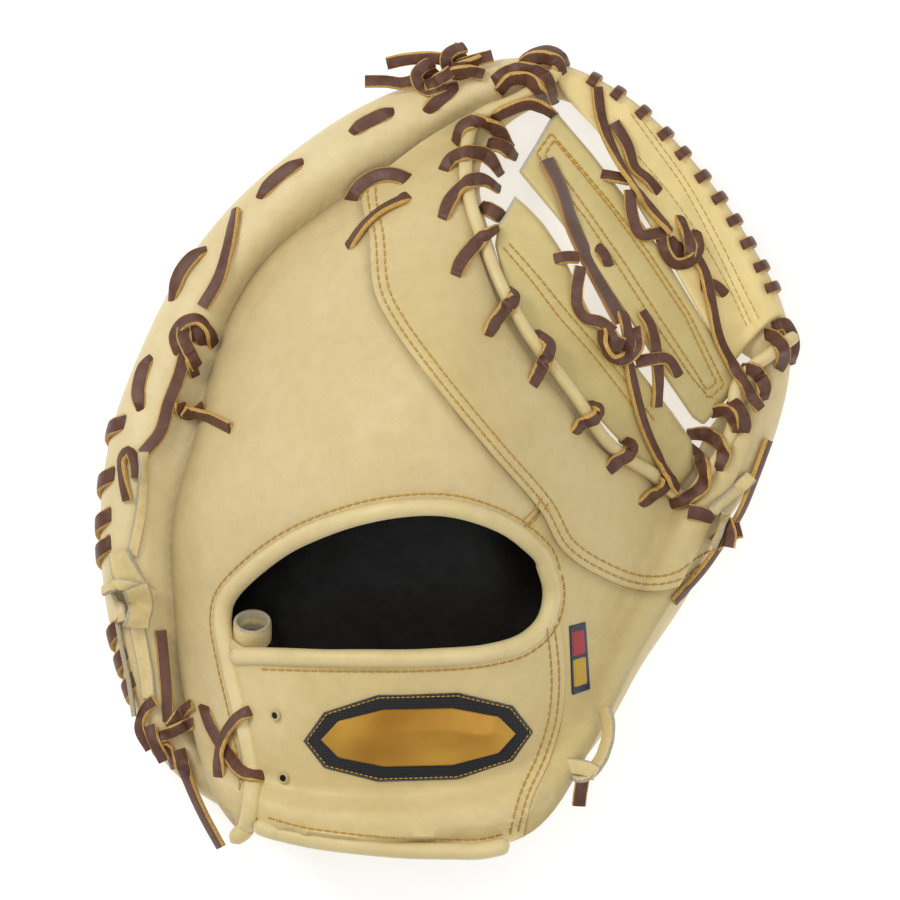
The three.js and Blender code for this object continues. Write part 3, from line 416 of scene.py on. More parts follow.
# Materials
class Finish:
    """A material's node tree, with short ways to add the nodes that leather needs."""

    def __init__(self, name, base, roughness):
        self.material = bpy.data.materials.new(name)
        self.material.use_nodes = True
        self.tree = self.material.node_tree
        self.shader = self.tree.nodes["Principled BSDF"]
        self.shader.inputs["Base Color"].default_value = (*base, 1)
        self.shader.inputs["Roughness"].default_value = roughness
        self.spot = self.tree.nodes.new("ShaderNodeTexCoord").outputs["Object"]

    def link(self, source, target):
        self.tree.links.new(source, target)

    def noise(self, scale, detail=4, rough=0.6):
        node = self.tree.nodes.new("ShaderNodeTexNoise")
        node.inputs["Scale"].default_value = scale
        node.inputs["Detail"].default_value = detail
        node.inputs["Roughness"].default_value = rough
        self.link(self.spot, node.inputs["Vector"])
        return node.outputs["Fac"]

    def cells(self, scale):
        node = self.tree.nodes.new("ShaderNodeTexVoronoi")
        node.inputs["Scale"].default_value = scale
        self.link(self.spot, node.inputs["Vector"])
        return node.outputs["Distance"]

    def attribute(self, name):
        node = self.tree.nodes.new("ShaderNodeAttribute")
        node.attribute_name = name
        return node.outputs["Fac"]

    def ramp(self, source, stops):
        node = self.tree.nodes.new("ShaderNodeValToRGB")
        while len(node.color_ramp.elements) < len(stops):
            node.color_ramp.elements.new(0.5)
        for element, (at, colour) in zip(node.color_ramp.elements, stops):
            element.position = at
            element.color = (*colour, 1) if len(colour) == 3 else colour
        self.link(source, node.inputs["Fac"])
        return node.outputs["Color"]

    def blend(self, kind, factor, first, second):
        node = self.tree.nodes.new("ShaderNodeMix")
        node.data_type = "RGBA"
        node.blend_type = kind
        self.put(node.inputs["Factor"], factor)
        for socket in node.inputs:
            if socket.type == "RGBA" and socket.name in "AB":
                self.put(socket, first if socket.name == "A" else second)
        return [socket for socket in node.outputs if socket.type == "RGBA"][0]

    def put(self, socket, value):
        if hasattr(value, "is_output"):
            self.link(value, socket)
        elif isinstance(value, tuple) and socket.type == "RGBA":
            socket.default_value = (*value, 1)
        elif not isinstance(value, tuple) and socket.type == "VALUE":
            socket.default_value = value

    def maths(self, kind, first, second):
        node = self.tree.nodes.new("ShaderNodeMath")
        node.operation = kind
        self.put(node.inputs[0], first)
        self.put(node.inputs[1], second)
        return node.outputs[0]

    def bump(self, height, strength, distance):
        node = self.tree.nodes.new("ShaderNodeBump")
        node.inputs["Strength"].default_value = strength
        node.inputs["Distance"].default_value = distance
        self.link(height, node.inputs["Height"])
        if self.shader.inputs["Normal"].is_linked:
            self.link(self.shader.inputs["Normal"].links[0].from_socket, node.inputs["Normal"])
        self.link(node.outputs["Normal"], self.shader.inputs["Normal"])


def linear(r, g, b):
    """A colour given as 0 to 255, as the shader wants it."""
    return tuple((c / 255) ** 2.2 for c in (r, g, b))


def leather_finish(name, pale, deep, roughness=0.47, grain=1.0):
    """Smooth tanned hide: slow mottling, fine grain, painted shade along creases, laps and seams, bare
    fibres at cut ends and a little sheen.
    """
    f = Finish(name, pale, roughness)
    slow = f.noise(16, 3, 0.55)
    cloud = f.ramp(slow, [(0.32, deep), (0.68, pale)])
    fleck = f.noise(160, 5, 0.65)
    flecks = f.ramp(fleck, [(0.3, (0.78, 0.76, 0.7)), (0.62, (1, 1, 1))])
    dappled = f.blend("MULTIPLY", 0.35, cloud, flecks)
    pores = f.ramp(f.cells(1500), [(0.05, (0.7, 0.66, 0.55)), (0.35, (1, 1, 1))])
    pored = f.blend("MULTIPLY", 0.25, dappled, pores)
    # Painted shade: the dark colour that the shade attribute mixes in where shade falls along creases, laps
    # and seams.
    shade = tuple(c * k for c, k in zip(deep, (0.42, 0.36, 0.26)))
    painted_shade_mixed = f.blend("MIX", f.attribute("shade"), pored, shade)
    fibres = f.ramp(f.noise(900, 5, 0.75), [(0.3, linear(150, 150, 148)), (0.65, linear(206, 206, 200))])
    f.link(f.blend("MIX", f.attribute("bare"), painted_shade_mixed, fibres), f.shader.inputs["Base Color"])
    rough = f.ramp(f.noise(90, 3), [(0.3, (roughness - 0.08,) * 3), (0.7, (roughness + 0.1,) * 3)])
    f.link(rough, f.shader.inputs["Roughness"])
    f.bump(f.cells(1100), 0.22 * grain, 0.0002)
    f.bump(f.noise(2600, 3, 0.7), 0.3 * grain, 0.00012)
    f.bump(f.noise(55, 3, 0.5), 0.35, 0.0007)
    f.shader.inputs["Specular IOR Level"].default_value = 0.38
    f.shader.inputs["Sheen Weight"].default_value = 0.12
    f.shader.inputs["Sheen Roughness"].default_value = 0.5
    return f.material


def raw_edge_finish():
    """The cut edge of thick leather, grey and fibrous."""
    f = Finish("raw_edge", linear(196, 190, 178), 0.9)
    fibre = f.noise(900, 5, 0.75)
    tone = f.ramp(fibre, [(0.3, linear(150, 146, 138)), (0.65, linear(214, 209, 198))])
    f.link(tone, f.shader.inputs["Base Color"])
    f.bump(fibre, 0.7, 0.0004)
    return f.material


def lace_finish(name, face, face_deep, edge, edge_deep):
    """Alum tanned lace: coloured face, bare cut edges and a fuzzy back."""
    f = Finish(name, face, 0.5)
    grain = f.ramp(f.noise(240, 5, 0.7), [(0.3, face_deep), (0.7, face)])
    fibres = f.ramp(f.noise(1300, 4, 0.8), [(0.3, edge_deep), (0.62, edge)])
    fray = f.maths("MULTIPLY", f.maths("SUBTRACT", f.noise(700, 4), 0.5), 0.45)
    frayed = f.maths("ADD", f.attribute("edge"), fray)
    mask = f.ramp(frayed, [(0.45, (0, 0, 0)), (0.56, (1, 1, 1))])
    worn = f.blend("MIX", mask, grain, fibres)
    f.link(worn, f.shader.inputs["Base Color"])
    f.link(f.ramp(mask, [(0.2, (0.42,) * 3), (0.8, (0.85,) * 3)]), f.shader.inputs["Roughness"])
    f.bump(f.noise(1500, 4, 0.75), 0.45, 0.00025)
    f.bump(f.noise(300, 3), 0.3, 0.0003)
    f.shader.inputs["Specular IOR Level"].default_value = 0.35
    return f.material


def suede_finish():
    """The napped side of the brown lace, with its bare tan edges."""
    f = Finish("lace_suede", linear(92, 60, 48), 0.95)
    nap = f.noise(1400, 6, 0.8)
    face = f.ramp(nap, [(0.3, linear(58, 36, 28)), (0.66, linear(106, 74, 58))])
    f.link(f.blend("MIX", f.attribute("edge"), face, linear(176, 128, 66)), f.shader.inputs["Base Color"])
    f.bump(nap, 0.9, 0.0005)
    f.shader.inputs["Sheen Weight"].default_value = 0.35
    f.shader.inputs["Sheen Roughness"].default_value = 0.6
    return f.material


def thread_finish(name, bright, dark):
    """Twisted sewing thread, darkened by painted shade where it enters the leather."""
    f = Finish(name, bright, 0.55)
    ply = f.ramp(f.noise(2600, 3), [(0.35, tuple(c * 0.6 for c in bright)), (0.65, bright)])
    f.link(f.blend("MIX", f.attribute("edge"), ply, dark), f.shader.inputs["Base Color"])
    f.bump(f.noise(4200, 2), 0.5, 0.0002)
    f.shader.inputs["Sheen Weight"].default_value = 0.3
    return f.material


def lining_finish():
    """Black pebbled lining with a soft sheen."""
    f = Finish("lining_black", linear(16, 16, 17), 0.62)
    tone = f.ramp(f.noise(140, 4), [(0.3, linear(8, 8, 9)), (0.7, linear(24, 24, 25))])
    f.link(tone, f.shader.inputs["Base Color"])
    f.bump(f.cells(900), 0.5, 0.0003)
    f.bump(f.noise(60, 3), 0.5, 0.0012)
    f.shader.inputs["Specular IOR Level"].default_value = 0.25
    return f.material


def cloth_finish(name, base, weave=2200, roughness=0.85):
    """Tight weave or felt: crossed threads with a little fuzz."""
    f = Finish(name, base, roughness)
    bands = []
    for axis in ("X", "Y"):
        wave = f.tree.nodes.new("ShaderNodeTexWave")
        wave.bands_direction = axis
        wave.inputs["Scale"].default_value = weave / 6
        wave.inputs["Distortion"].default_value = 1.5
        f.link(f.spot, wave.inputs["Vector"])
        bands.append(wave.outputs["Fac"])
    woven = f.maths("MAXIMUM", bands[0], bands[1])
    dark = tuple(c * 0.55 for c in base)
    f.link(f.ramp(woven, [(0.3, dark), (0.8, base)]), f.shader.inputs["Base Color"])
    f.bump(woven, 0.6, 0.0003)
    f.bump(f.noise(1800, 4, 0.8), 0.5, 0.0003)
    f.shader.inputs["Sheen Weight"].default_value = 0.3
    return f.material


def foil_finish():
    """Gold coated relief of the patch."""
    f = Finish("patch_gold", linear(184, 134, 42), 0.36)
    tone = f.ramp(f.noise(26, 2), [(0.3, linear(162, 112, 32)), (0.7, linear(206, 158, 64))])
    f.link(tone, f.shader.inputs["Base Color"])
    f.link(f.ramp(f.noise(400, 4), [(0.3, (0.28,) * 3), (0.7, (0.5,) * 3)]), f.shader.inputs["Roughness"])
    f.bump(f.noise(1500, 3), 0.25, 0.0002)
    f.shader.inputs["Metallic"].default_value = 0.45
    return f.material


FINISH = {
    "back": leather_finish("back_leather", linear(208, 188, 139), linear(199, 177, 126)),
    "crotch": leather_finish("crotch_leather", linear(207, 187, 133), linear(197, 175, 120)),
    "thumb": leather_finish("thumb_leather", linear(204, 184, 127), linear(194, 172, 113)),
    "strap": leather_finish("strap_leather", linear(212, 191, 137), linear(200, 177, 120)),
    "palm": leather_finish("palm_leather", linear(219, 201, 155), linear(209, 189, 138)),
    "outer_strip": leather_finish("outer_web_leather", linear(234, 212, 149), linear(220, 195, 131)),
    "strip": leather_finish("web_leather", linear(205, 187, 129), linear(193, 173, 112)),
    "binding": leather_finish("binding_leather", linear(217, 198, 146), linear(203, 182, 126), 0.42, 0.8),
    "raw": raw_edge_finish(),
    "lace": lace_finish(
        "lace_brown", linear(104, 70, 54), linear(78, 50, 38), linear(208, 170, 96), linear(152, 110, 50)
    ),
    "thong": lace_finish(
        "thong_pale", linear(214, 194, 142), linear(200, 177, 122), linear(186, 176, 150),
        linear(140, 130, 106),
    ),
    "suede": suede_finish(),
    # Each thread's second colour is the painted shade at its stitch ends.
    "thread": thread_finish("gold_thread", linear(198, 150, 40), linear(70, 46, 14)),
    "thread_pale": thread_finish("pale_thread", linear(206, 178, 104), linear(150, 122, 66)),
    "lining": lining_finish(),
    "felt": cloth_finish("patch_felt", linear(18, 18, 22), 1500, 0.95),
    "gold": foil_finish(),
    "navy": cloth_finish("tag_navy", linear(26, 34, 66)),
    "red": cloth_finish("tag_red", linear(172, 26, 38)),
    "yellow": cloth_finish("tag_yellow", linear(204, 162, 30)),
}


# Meshes
def mesh_object(name, points, faces, finishes, face_finish=None, attributes=None, sharp=50):
    """One object from points in millimetres."""
    mesh = bpy.data.meshes.new(name)
    metres = (np.asarray(points, float) + OFFSET) / 1000
    metres[:, 2] = np.maximum(metres[:, 2], 0)
    mesh.from_pydata(metres.tolist(), [], [list(map(int, face)) for face in faces])
    for key in finishes:
        mesh.materials.append(FINISH[key])
    if face_finish is not None:
        mesh.polygons.foreach_set("material_index", np.asarray(face_finish, dtype=np.int32))
    mesh.polygons.foreach_set("use_smooth", np.ones(len(mesh.polygons), dtype=bool))
    for key, values in (attributes or {}).items():
        layer = mesh.attributes.new(key, "FLOAT", "POINT")
        layer.data.foreach_set("value", np.asarray(values, dtype=np.float32))
    mesh.validate()
    mesh.set_sharp_from_angle(angle=math.radians(sharp))
    piece = bpy.data.objects.new(name, mesh)
    bpy.context.scene.collection.objects.link(piece)
    return piece


def hand_in(piece, slot, *nodes, fill=None):
    """Attaches the piece to the root and hides the nodes that it stands for; the finish slot is not used."""
    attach(piece, "root")
    if nodes:
        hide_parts(*nodes)


def hex_grid(low, high, spacing):
    """Plan points in offset rows, for even triangles."""
    rows = np.arange(low[1], high[1], spacing * math.sqrt(0.75))
    columns = np.arange(low[0], high[0], spacing)
    grid = []
    for k, y in enumerate(rows):
        grid.append(np.column_stack((columns + (k % 2) * spacing / 2, np.full(len(columns), y))))
    return np.vstack(grid)


def plan_triangles(loops, inside, spacing, extra=()):
    """Triangles of the plan region that inside() accepts, with the loops as edges."""
    edge_points = np.vstack([loop for loop, closed in loops])
    low = edge_points.min(0)
    high = edge_points.max(0)
    grid = hex_grid(np.maximum(low, -180), np.minimum(high, 180), spacing)
    grid = grid[inside(grid[:, 0], grid[:, 1])]
    added = [points[inside(points[:, 0], points[:, 1])] for points in extra]
    near = np.full(len(grid), 1e9)
    for loop, closed in loops:
        near = np.minimum(near, distance_to(loop, grid[:, 0], grid[:, 1], closed))
    for points in added:
        if len(points):
            near = np.minimum(near, distance_to(points, grid[:, 0], grid[:, 1]))
    grid = grid[near > 0.55 * spacing]
    kept = []
    for points in added:
        gap = np.full(len(points), 1e9)
        for loop, closed in loops:
            gap = np.minimum(gap, distance_to(loop, points[:, 0], points[:, 1], closed))
        kept.append(points[gap > 0.35])
    points = np.vstack([edge_points, grid, *kept])
    edges = []
    start = 0
    for loop, closed in loops:
        n = len(loop)
        edges += [(start + i, start + i + 1) for i in range(n - 1)]
        if closed:
            edges.append((start + n - 1, start))
        start += n
    result = geometry.delaunay_2d_cdt([Vector(p) for p in points], edges, [], 0, 1e-4)
    verts = np.array([tuple(v) for v in result[0]])
    faces = np.array([face for face in result[2] if len(face) == 3])
    centre = verts[faces].mean(axis=1)
    faces = faces[inside(centre[:, 0], centre[:, 1])]
    a, b, c = (verts[faces[:, k]] for k in range(3))
    area = (b[:, 0] - a[:, 0]) * (c[:, 1] - a[:, 1]) - (b[:, 1] - a[:, 1]) * (c[:, 0] - a[:, 0])
    faces[area < 0] = faces[area < 0][:, ::-1]
    faces = faces[np.abs(area) > 1e-6]
    used, inverse = np.unique(faces, return_inverse=True)
    return verts[used], inverse.reshape(-1, 3)


def boundary_edges(faces):
    """The directed edges that only one triangle has."""
    directed = np.vstack((faces[:, [0, 1]], faces[:, [1, 2]], faces[:, [2, 0]]))
    have = {(int(a), int(b)) for a, b in directed}
    return [(a, b) for a, b in have if (b, a) not in have]


def vertex_normals(points, faces):
    """Unit normals, weighted by the size of the triangles."""
    n = np.cross(points[faces[:, 1]] - points[faces[:, 0]], points[faces[:, 2]] - points[faces[:, 0]])
    total = np.zeros_like(points)
    for k in range(3):
        np.add.at(total, faces[:, k], n)
    return total / (np.linalg.norm(total, axis=1)[:, None] + 1e-12)


# Surfaces that later pieces lie on, and how far over them a strand starts its search
CARRIERS = []
SEARCH_HEIGHT = 400


def carry(points, faces):
    """Adds a surface that later strands and stitches lie on."""
    p = np.asarray(points, float)
    tree = BVHTree.FromPolygons(p.tolist(), [tuple(map(int, f)) for f in faces])
    CARRIERS.append((tree, p[:, :2].min(0), p[:, :2].max(0)))


def top_at(x, y):
    """The highest carrier over a plan point, or None."""
    best = None
    for tree, low, high in CARRIERS:
        if low[0] <= x <= high[0] and low[1] <= y <= high[1]:
            hit = tree.ray_cast(Vector((x, y, SEARCH_HEIGHT)), Vector((0, 0, -1)))
            if hit[0] is not None and (best is None or hit[0].z > best):
                best = hit[0].z
    return best


def two_faced(name, verts, faces, top, bottom, finishes, attributes=None, wall_finish=0, sharp=50):
    """A closed body between two heights over the same plan triangles."""
    n = len(verts)
    points = np.vstack((np.column_stack((verts, top)), np.asarray(bottom)))
    walls = [(a, a + n, b + n, b) for a, b in boundary_edges(faces)]
    all_faces = [*faces.tolist(), *(faces[:, ::-1] + n).tolist(), *walls]
    kinds = [0] * (2 * len(faces)) + [wall_finish] * len(walls)
    doubled = {key: np.concatenate((v, v)) for key, v in (attributes or {}).items()}
    carry(np.column_stack((verts, top)), faces)
    return mesh_object(name, points, all_faces, finishes, kinds, doubled, sharp)


def sheet(name, loops, inside, spacing, height, finishes, edge_lines, edge_radius, shade_lines,
          soft, seed, seams=(), wall_finish=1):
    """A leather panel with its real thickness, rounded at its edges and drawn in along its seams."""
    extra = []
    for reach in (edge_radius * 0.4, edge_radius):
        extra += [offset_line(line, side) for line in edge_lines for side in (-reach, reach)]
    extra += [offset_line(line, side) for line in seams for side in (-1.1, 0, 1.1)]
    verts, faces = plan_triangles(loops, inside, spacing, extra)
    x, y = verts[:, 0], verts[:, 1]
    top = height(x, y) + softness(x, y, 34, soft, seed) + softness(x, y, 12, soft * 0.3, seed + 5)
    rims = sorted({v for edge in boundary_edges(faces) for v in edge})
    edge_points = verts[rims]
    away = np.full(len(verts), 1e9)
    for k in range(0, len(edge_points), 400):
        part = edge_points[k:k + 400]
        away = np.minimum(away, np.hypot(x[:, None] - part[:, 0], y[:, None] - part[:, 1]).min(1))
    short = np.maximum(0, edge_radius - away)
    round_off = edge_radius - np.sqrt(np.maximum(0, edge_radius ** 2 - short ** 2))
    top = top - round_off
    for line in seams:
        top = top - 0.45 * np.exp(-(distance_to(line, x, y) / 0.9) ** 2)
    # Painted shade: darkening along each shade line, mixed into the colour through the shade attribute.
    shade = np.zeros(len(verts))
    for line, reach, strength in shade_lines:
        shade = np.maximum(shade, strength * np.exp(-(distance_to(line, x, y) / reach) ** 2))
    points = np.column_stack((verts, top))
    bottom = points - vertex_normals(points, faces) * LEATHER
    return two_faced(name, verts, faces, top, bottom, finishes, {"shade": shade}, wall_finish)


def ring_faces(rings, sides, start=0, turned=False):
    """Quads between rings of points, with both ends closed, facing out for either turn of the rings."""
    faces = []
    for ring in range(rings - 1):
        for k in range(sides):
            a = start + ring * sides + k
            b = start + ring * sides + (k + 1) % sides
            faces.append((a, a + sides, b + sides, b) if turned else (a, b, b + sides, a + sides))
    first = range(start, start + sides)
    last = range(start + (rings - 1) * sides, start + rings * sides)
    faces.append(tuple(first) if turned else tuple(reversed(first)))
    faces.append(tuple(reversed(last)) if turned else tuple(last))
    return faces


def tube(name, path, radius, finishes, sides, rough, seed):
    """A round padded strip along a path, with rounded ends."""
    path = np.asarray(path, float)
    ahead = directions(path)
    side = np.cross(ahead, (0.0, 0.0, 1.0))
    side /= np.linalg.norm(side, axis=1)[:, None] + 1e-9
    top = np.cross(side, ahead)
    run = run_along(path)
    ends = np.minimum(run, run[-1] - run)
    taper = np.sqrt(np.clip(1 - (1 - np.clip(ends / radius, 0, 1)) ** 2, 0.02, 1))
    angles = np.arange(sides) * 2 * math.pi / sides
    rng = random.Random(seed)
    phases = [rng.uniform(0, 6.28) for _ in range(3)]
    uneven = 1 + rough * (np.sin(run / 5.3 + phases[0]) + np.sin(run / 11.7 + phases[1]))
    points = (
        path[:, None]
        + side[:, None] * (np.cos(angles)[None, :, None] * (radius * taper * uneven)[:, None, None])
        + top[:, None] * (np.sin(angles)[None, :, None] * (radius * taper * uneven)[:, None, None])
    ).reshape(-1, 3)
    faces = ring_faces(len(path), sides, turned=True)
    carry(points, faces)
    return mesh_object(name, points, faces, finishes, None, {"shade": np.zeros(len(points))}, 70)


# The lace's section: across, up and how far it is bare edge
LACE_SECTION = np.array([
    (-0.5, -0.25, 1), (-0.5, 0.22, 1), (-0.455, 0.42, 0.75), (-0.38, 0.5, 0.12), (-0.18, 0.55, 0),
    (0, 0.57, 0), (0.18, 0.55, 0), (0.38, 0.5, 0.12), (0.455, 0.42, 0.75), (0.5, 0.22, 1),
    (0.5, -0.25, 1), (0.45, -0.5, 0.9), (0, -0.5, 0.35), (-0.45, -0.5, 0.9),
])


def ribbon_mesh(path, up, wide, thick):
    """Points, faces and bareness of a flat strand with square cut ends."""
    path = np.asarray(path, float)
    ahead = directions(path)
    side = np.cross(ahead, up)
    side /= np.linalg.norm(side, axis=1)[:, None] + 1e-9
    top = np.cross(side, ahead)
    wide = np.broadcast_to(wide, len(path))
    points = (
        path[:, None]
        + side[:, None] * (LACE_SECTION[None, :, 0] * wide[:, None])[..., None]
        + top[:, None] * (LACE_SECTION[None, :, 1] * thick)[..., None]
    ).reshape(-1, 3)
    bare = np.tile(LACE_SECTION[:, 2], len(path))
    return points, ring_faces(len(path), len(LACE_SECTION)), bare


def blurred(values, reach):
    """Moving average with its ends held."""
    if reach < 1 or len(values) < 3:
        return values
    kernel = np.ones(2 * reach + 1) / (2 * reach + 1)
    padded = np.pad(values, reach, mode="edge")
    return np.convolve(padded, kernel, mode="valid")


# How far from its end a strand starts to dive, and its height where nothing lies under it
DIVE_REACH = 4.4
LOOSE_HEIGHT = 20


def laid(route, wide, thick, lift=0.0, dive=(0, 0), roll=0, step=1.2, ease=2):
    """A strand's path and its up directions, laid on everything carried so far."""
    line = smooth_line(route, step)
    ahead = directions(line)
    side = np.column_stack((ahead[:, 1], -ahead[:, 0]))
    shares = (-0.5, -0.25, 0, 0.25, 0.5)
    heights = np.full((len(line), len(shares)), np.nan)
    for i, (x, y) in enumerate(line):
        for k, share in enumerate(shares):
            found = top_at(x + side[i, 0] * wide * share, y + side[i, 1] * wide * share)
            if found is not None:
                heights[i, k] = found
    seen = ~np.isnan(heights).any(axis=1)
    if not seen.any():
        heights[:] = LOOSE_HEIGHT
        seen[:] = True
    index = np.arange(len(line))
    for k in range(len(shares)):
        heights[:, k] = np.interp(index, index[seen], heights[seen, k])
    tilt = np.clip(blurred((heights[:, 4] - heights[:, 0]) / wide, 3), -1.3, 1.3)
    flat = heights[:, 2]
    above = (heights - (flat[:, None] + tilt[:, None] * wide * np.array(shares))).max(1)
    carried = flat + np.maximum(0, above)
    eased = np.maximum(blurred(carried, ease), blurred(carried, 1))
    z = np.maximum(eased, carried - 0.3) + thick * 0.5 * np.sqrt(1 + tilt ** 2) + 0.05 + np.asarray(lift)
    run = run_along(line)
    z -= dive[0] * (1 - smooth(-1, DIVE_REACH, run))
    z -= dive[1] * (1 - smooth(-1, DIVE_REACH, run[-1] - run))
    path = np.column_stack((line, z))
    across = np.column_stack((side, tilt))
    forward = np.gradient(path, axis=0)
    up = np.cross(across, forward)
    up /= np.linalg.norm(up, axis=1)[:, None] + 1e-9
    if np.any(np.asarray(roll)):
        marks = np.linspace(0, 1, np.size(roll))
        angle = np.radians(np.interp(np.linspace(0, 1, len(line)), marks, np.ravel(roll)))
        across3 = across / np.linalg.norm(across, axis=1)[:, None]
        up = up * np.cos(angle)[:, None] + across3 * np.sin(angle)[:, None]
    return path, up


# The share of a strand that narrows towards each end
TAPER_SHARE = 0.3


class Strands:
    """Several strands that make one piece."""

    def __init__(self, wide=LACE_WIDTH, thick=LACE_THICKNESS):
        self.wide = wide
        self.thick = thick
        self.points = []
        self.faces = []
        self.bare = []
        self.count = 0

    def add(self, path, up, wide=None, carried=True):
        width = self.wide if wide is None else wide
        points, faces, bare = ribbon_mesh(path, up, width, self.thick)
        if carried:
            carry(points, faces)
        self.points.append(points)
        self.faces += [tuple(v + self.count for v in face) for face in faces]
        self.bare.append(bare)
        self.count += len(points)

    def lay(self, pixels, wide=None, taper=(1, 1), **options):
        """Lays a strand on what is there; taper is the share of its width that each end keeps."""
        width = wide or self.wide
        path, up = laid(from_photo(pixels), wide=width, thick=self.thick, **options)
        share = np.linspace(0, 1, len(path))
        start = taper[0] + (1 - taper[0]) * smooth(0, TAPER_SHARE, share)
        end = taper[1] + (1 - taper[1]) * smooth(0, TAPER_SHARE, 1 - share)
        self.add(path, up, width * start * end)

    def piece(self, name, finish="lace"):
        bare = np.concatenate(self.bare)
        attributes = {"edge": bare, "shade": np.zeros(len(bare))}
        return mesh_object(name, np.vstack(self.points), self.faces, [finish], None, attributes, 62)


# Thread, and the rings of one stitch: share of its length, size and lift
THREAD_RADIUS = 0.44
THREAD_SUNK = 0.05
STITCH_PITCH = 3.3
STITCH_LENGTH = 3.0
LOWEST_THREAD = 0.8
STITCH_SIDES = 6
STITCH_RINGS = ((0, 0.55, -0.4), (0.14, 0.95, 0.3), (0.5, 1.1, 0.7), (0.86, 0.95, 0.3), (1, 0.55, -0.4))


class Sewing:
    """Rows of stitches that make one piece."""

    def __init__(self):
        self.points = []
        self.faces = []
        self.ends = []
        self.count = 0

    def row(self, line, pitch=STITCH_PITCH, length=STITCH_LENGTH, radius=THREAD_RADIUS, under=None):
        """Stitches along a line, on the carriers or, with under(), on the lower face."""
        marks = spaced(np.asarray(line, float), pitch / 2)
        for i in range(1, len(marks) - 1, 2):
            before, middle, after = marks[i - 1], marks[i], marks[i + 1]
            ahead = (after - before) / (np.linalg.norm(after - before) + 1e-9)
            ends = [middle - ahead * length / 2, middle, middle + ahead * length / 2]
            heights = [top_at(*p) if under is None else under(*p) for p in ends]
            if any(h is None or h < LOWEST_THREAD for h in heights):
                continue
            self.stitch(ends, heights, radius, -1 if under is not None else 1)

    def stitch(self, ends, heights, radius, way):
        start = np.array([*ends[0], heights[0]])
        end = np.array([*ends[2], heights[2]])
        ahead = (end - start) / np.linalg.norm(end - start)
        side = np.cross(ahead, (0, 0, 1))
        side /= np.linalg.norm(side) + 1e-9
        top = np.cross(side, ahead)
        rise = heights[1] - (heights[0] + heights[2]) / 2
        for share, size, lift in STITCH_RINGS:
            centre = start + (end - start) * share
            centre[2] += rise * (1 - abs(2 * share - 1))
            centre = centre + top * way * (lift * radius - THREAD_SUNK)
            for k in range(STITCH_SIDES):
                a = k * 2 * math.pi / STITCH_SIDES
                self.points.append(centre + (side * math.cos(a) + top * math.sin(a)) * radius * size)
                # Stitch ends are marked for the thread's painted shade.
                self.ends.append(1.0 if share in (0, 1) else 0.0)
        self.faces += ring_faces(len(STITCH_RINGS), STITCH_SIDES, self.count)
        self.count += len(STITCH_RINGS) * STITCH_SIDES

    def piece(self, name, finish="thread"):
        attributes = {"edge": np.array(self.ends), "shade": np.zeros(self.count)}
        return mesh_object(name, np.array(self.points), self.faces, [finish], None, attributes, 60)


# Camera, floor and light
def make_camera():
    """Looks straight down on the back, as the photo does."""
    camera = bpy.data.objects.new("camera", bpy.data.cameras.new("camera"))
    bpy.context.scene.collection.objects.link(camera)
    camera.data.lens = CAMERA_LENS
    camera.data.sensor_width = 36
    camera.location = (OFFSET[0] / 1000, OFFSET[1] / 1000, CAMERA_HEIGHT)
    camera.data.clip_end = 30
    bpy.context.scene.camera = camera


def make_floor():
    """A plain pale floor that glows a little, so that it stays nearly white."""
    mesh = bpy.data.meshes.new("floor")
    corners = [(x * FLOOR_REACH, y * FLOOR_REACH, 0) for x, y in ((-1, -1), (1, -1), (1, 1), (-1, 1))]
    mesh.from_pydata(corners, [], [(0, 1, 2, 3)])
    floor = bpy.data.objects.new("floor", mesh)
    bpy.context.scene.collection.objects.link(floor)
    f = Finish("floor_white", (0.9, 0.9, 0.9), 0.9)
    paper = f.ramp(f.noise(3, 2), [(0.3, (0.6, 0.6, 0.6)), (0.7, (0.64, 0.64, 0.64))])
    f.link(paper, f.shader.inputs["Base Color"])
    f.shader.inputs["Emission Color"].default_value = (1, 1, 1, 1)
    f.shader.inputs["Emission Strength"].default_value = FLOOR_GLOW
    mesh.materials.append(f.material)


def make_light(name, spot, size, power, colour):
    data = bpy.data.lights.new(name, "AREA")
    data.shape = "DISK"
    data.size = size
    data.energy = power
    data.color = colour
    light = bpy.data.objects.new(name, data)
    light.location = spot
    light.rotation_euler = (Vector(LIGHT_TARGET) - Vector(spot)).to_track_quat("-Z", "Y").to_euler()
    bpy.context.scene.collection.objects.link(light)


def make_lights():
    world = bpy.data.worlds.new("studio")
    world.use_nodes = True
    background = world.node_tree.nodes["Background"]
    background.inputs["Color"].default_value = (1, 1, 1, 1)
    background.inputs["Strength"].default_value = SKY_STRENGTH
    bpy.context.scene.world = world
    for light in LIGHTS:
        make_light(*light)
    bpy.context.scene.view_settings.view_transform = "Standard"


# Seams of the pocket, seen only from under the mitt, and the slits of the rim's running lace
POCKET_SEAMS = [
    [(-0.62, 0.62), (-0.42, 0.3), (-0.28, -0.1), (-0.24, -0.5), (-0.26, -0.84)],
    [(0.62, -0.2), (0.42, -0.36), (0.26, -0.58), (0.16, -0.86)],
]
RIM_RUNS = [
    [(422, 112), (436, 99), (452, 86), (461, 80)],
    [(347, 133), (362, 122), (380, 113), (397, 107)],
    [(255, 199), (267, 184), (284, 169), (305, 157)],
    [(168, 302), (178, 271), (192, 254), (207, 246)],
    [(138, 414), (136, 388), (142, 366), (151, 353)],
]
RIM_SLITS = [from_photo(run) for run in RIM_RUNS]

# The padded palm with its rolled rim and the window under the web
RIM_BEARINGS = np.arange(0, 360, 1.5)
WINDOW_ROUND = 4
SLIT_DEPTH = 1.3
SLIT_REACH = 2.2
POCKET_SEAM_DEPTH = 0.8
POCKET_SEAM_REACH = 1.8
# Painted shade along the band's fold, where the back meets the palm: how dark and how wide
FOLD_SHADE = 0.5
FOLD_REACH = 2.4


def ring_at(inset):
    """The outline moved inwards."""
    return point_at(RIM_BEARINGS, inset)


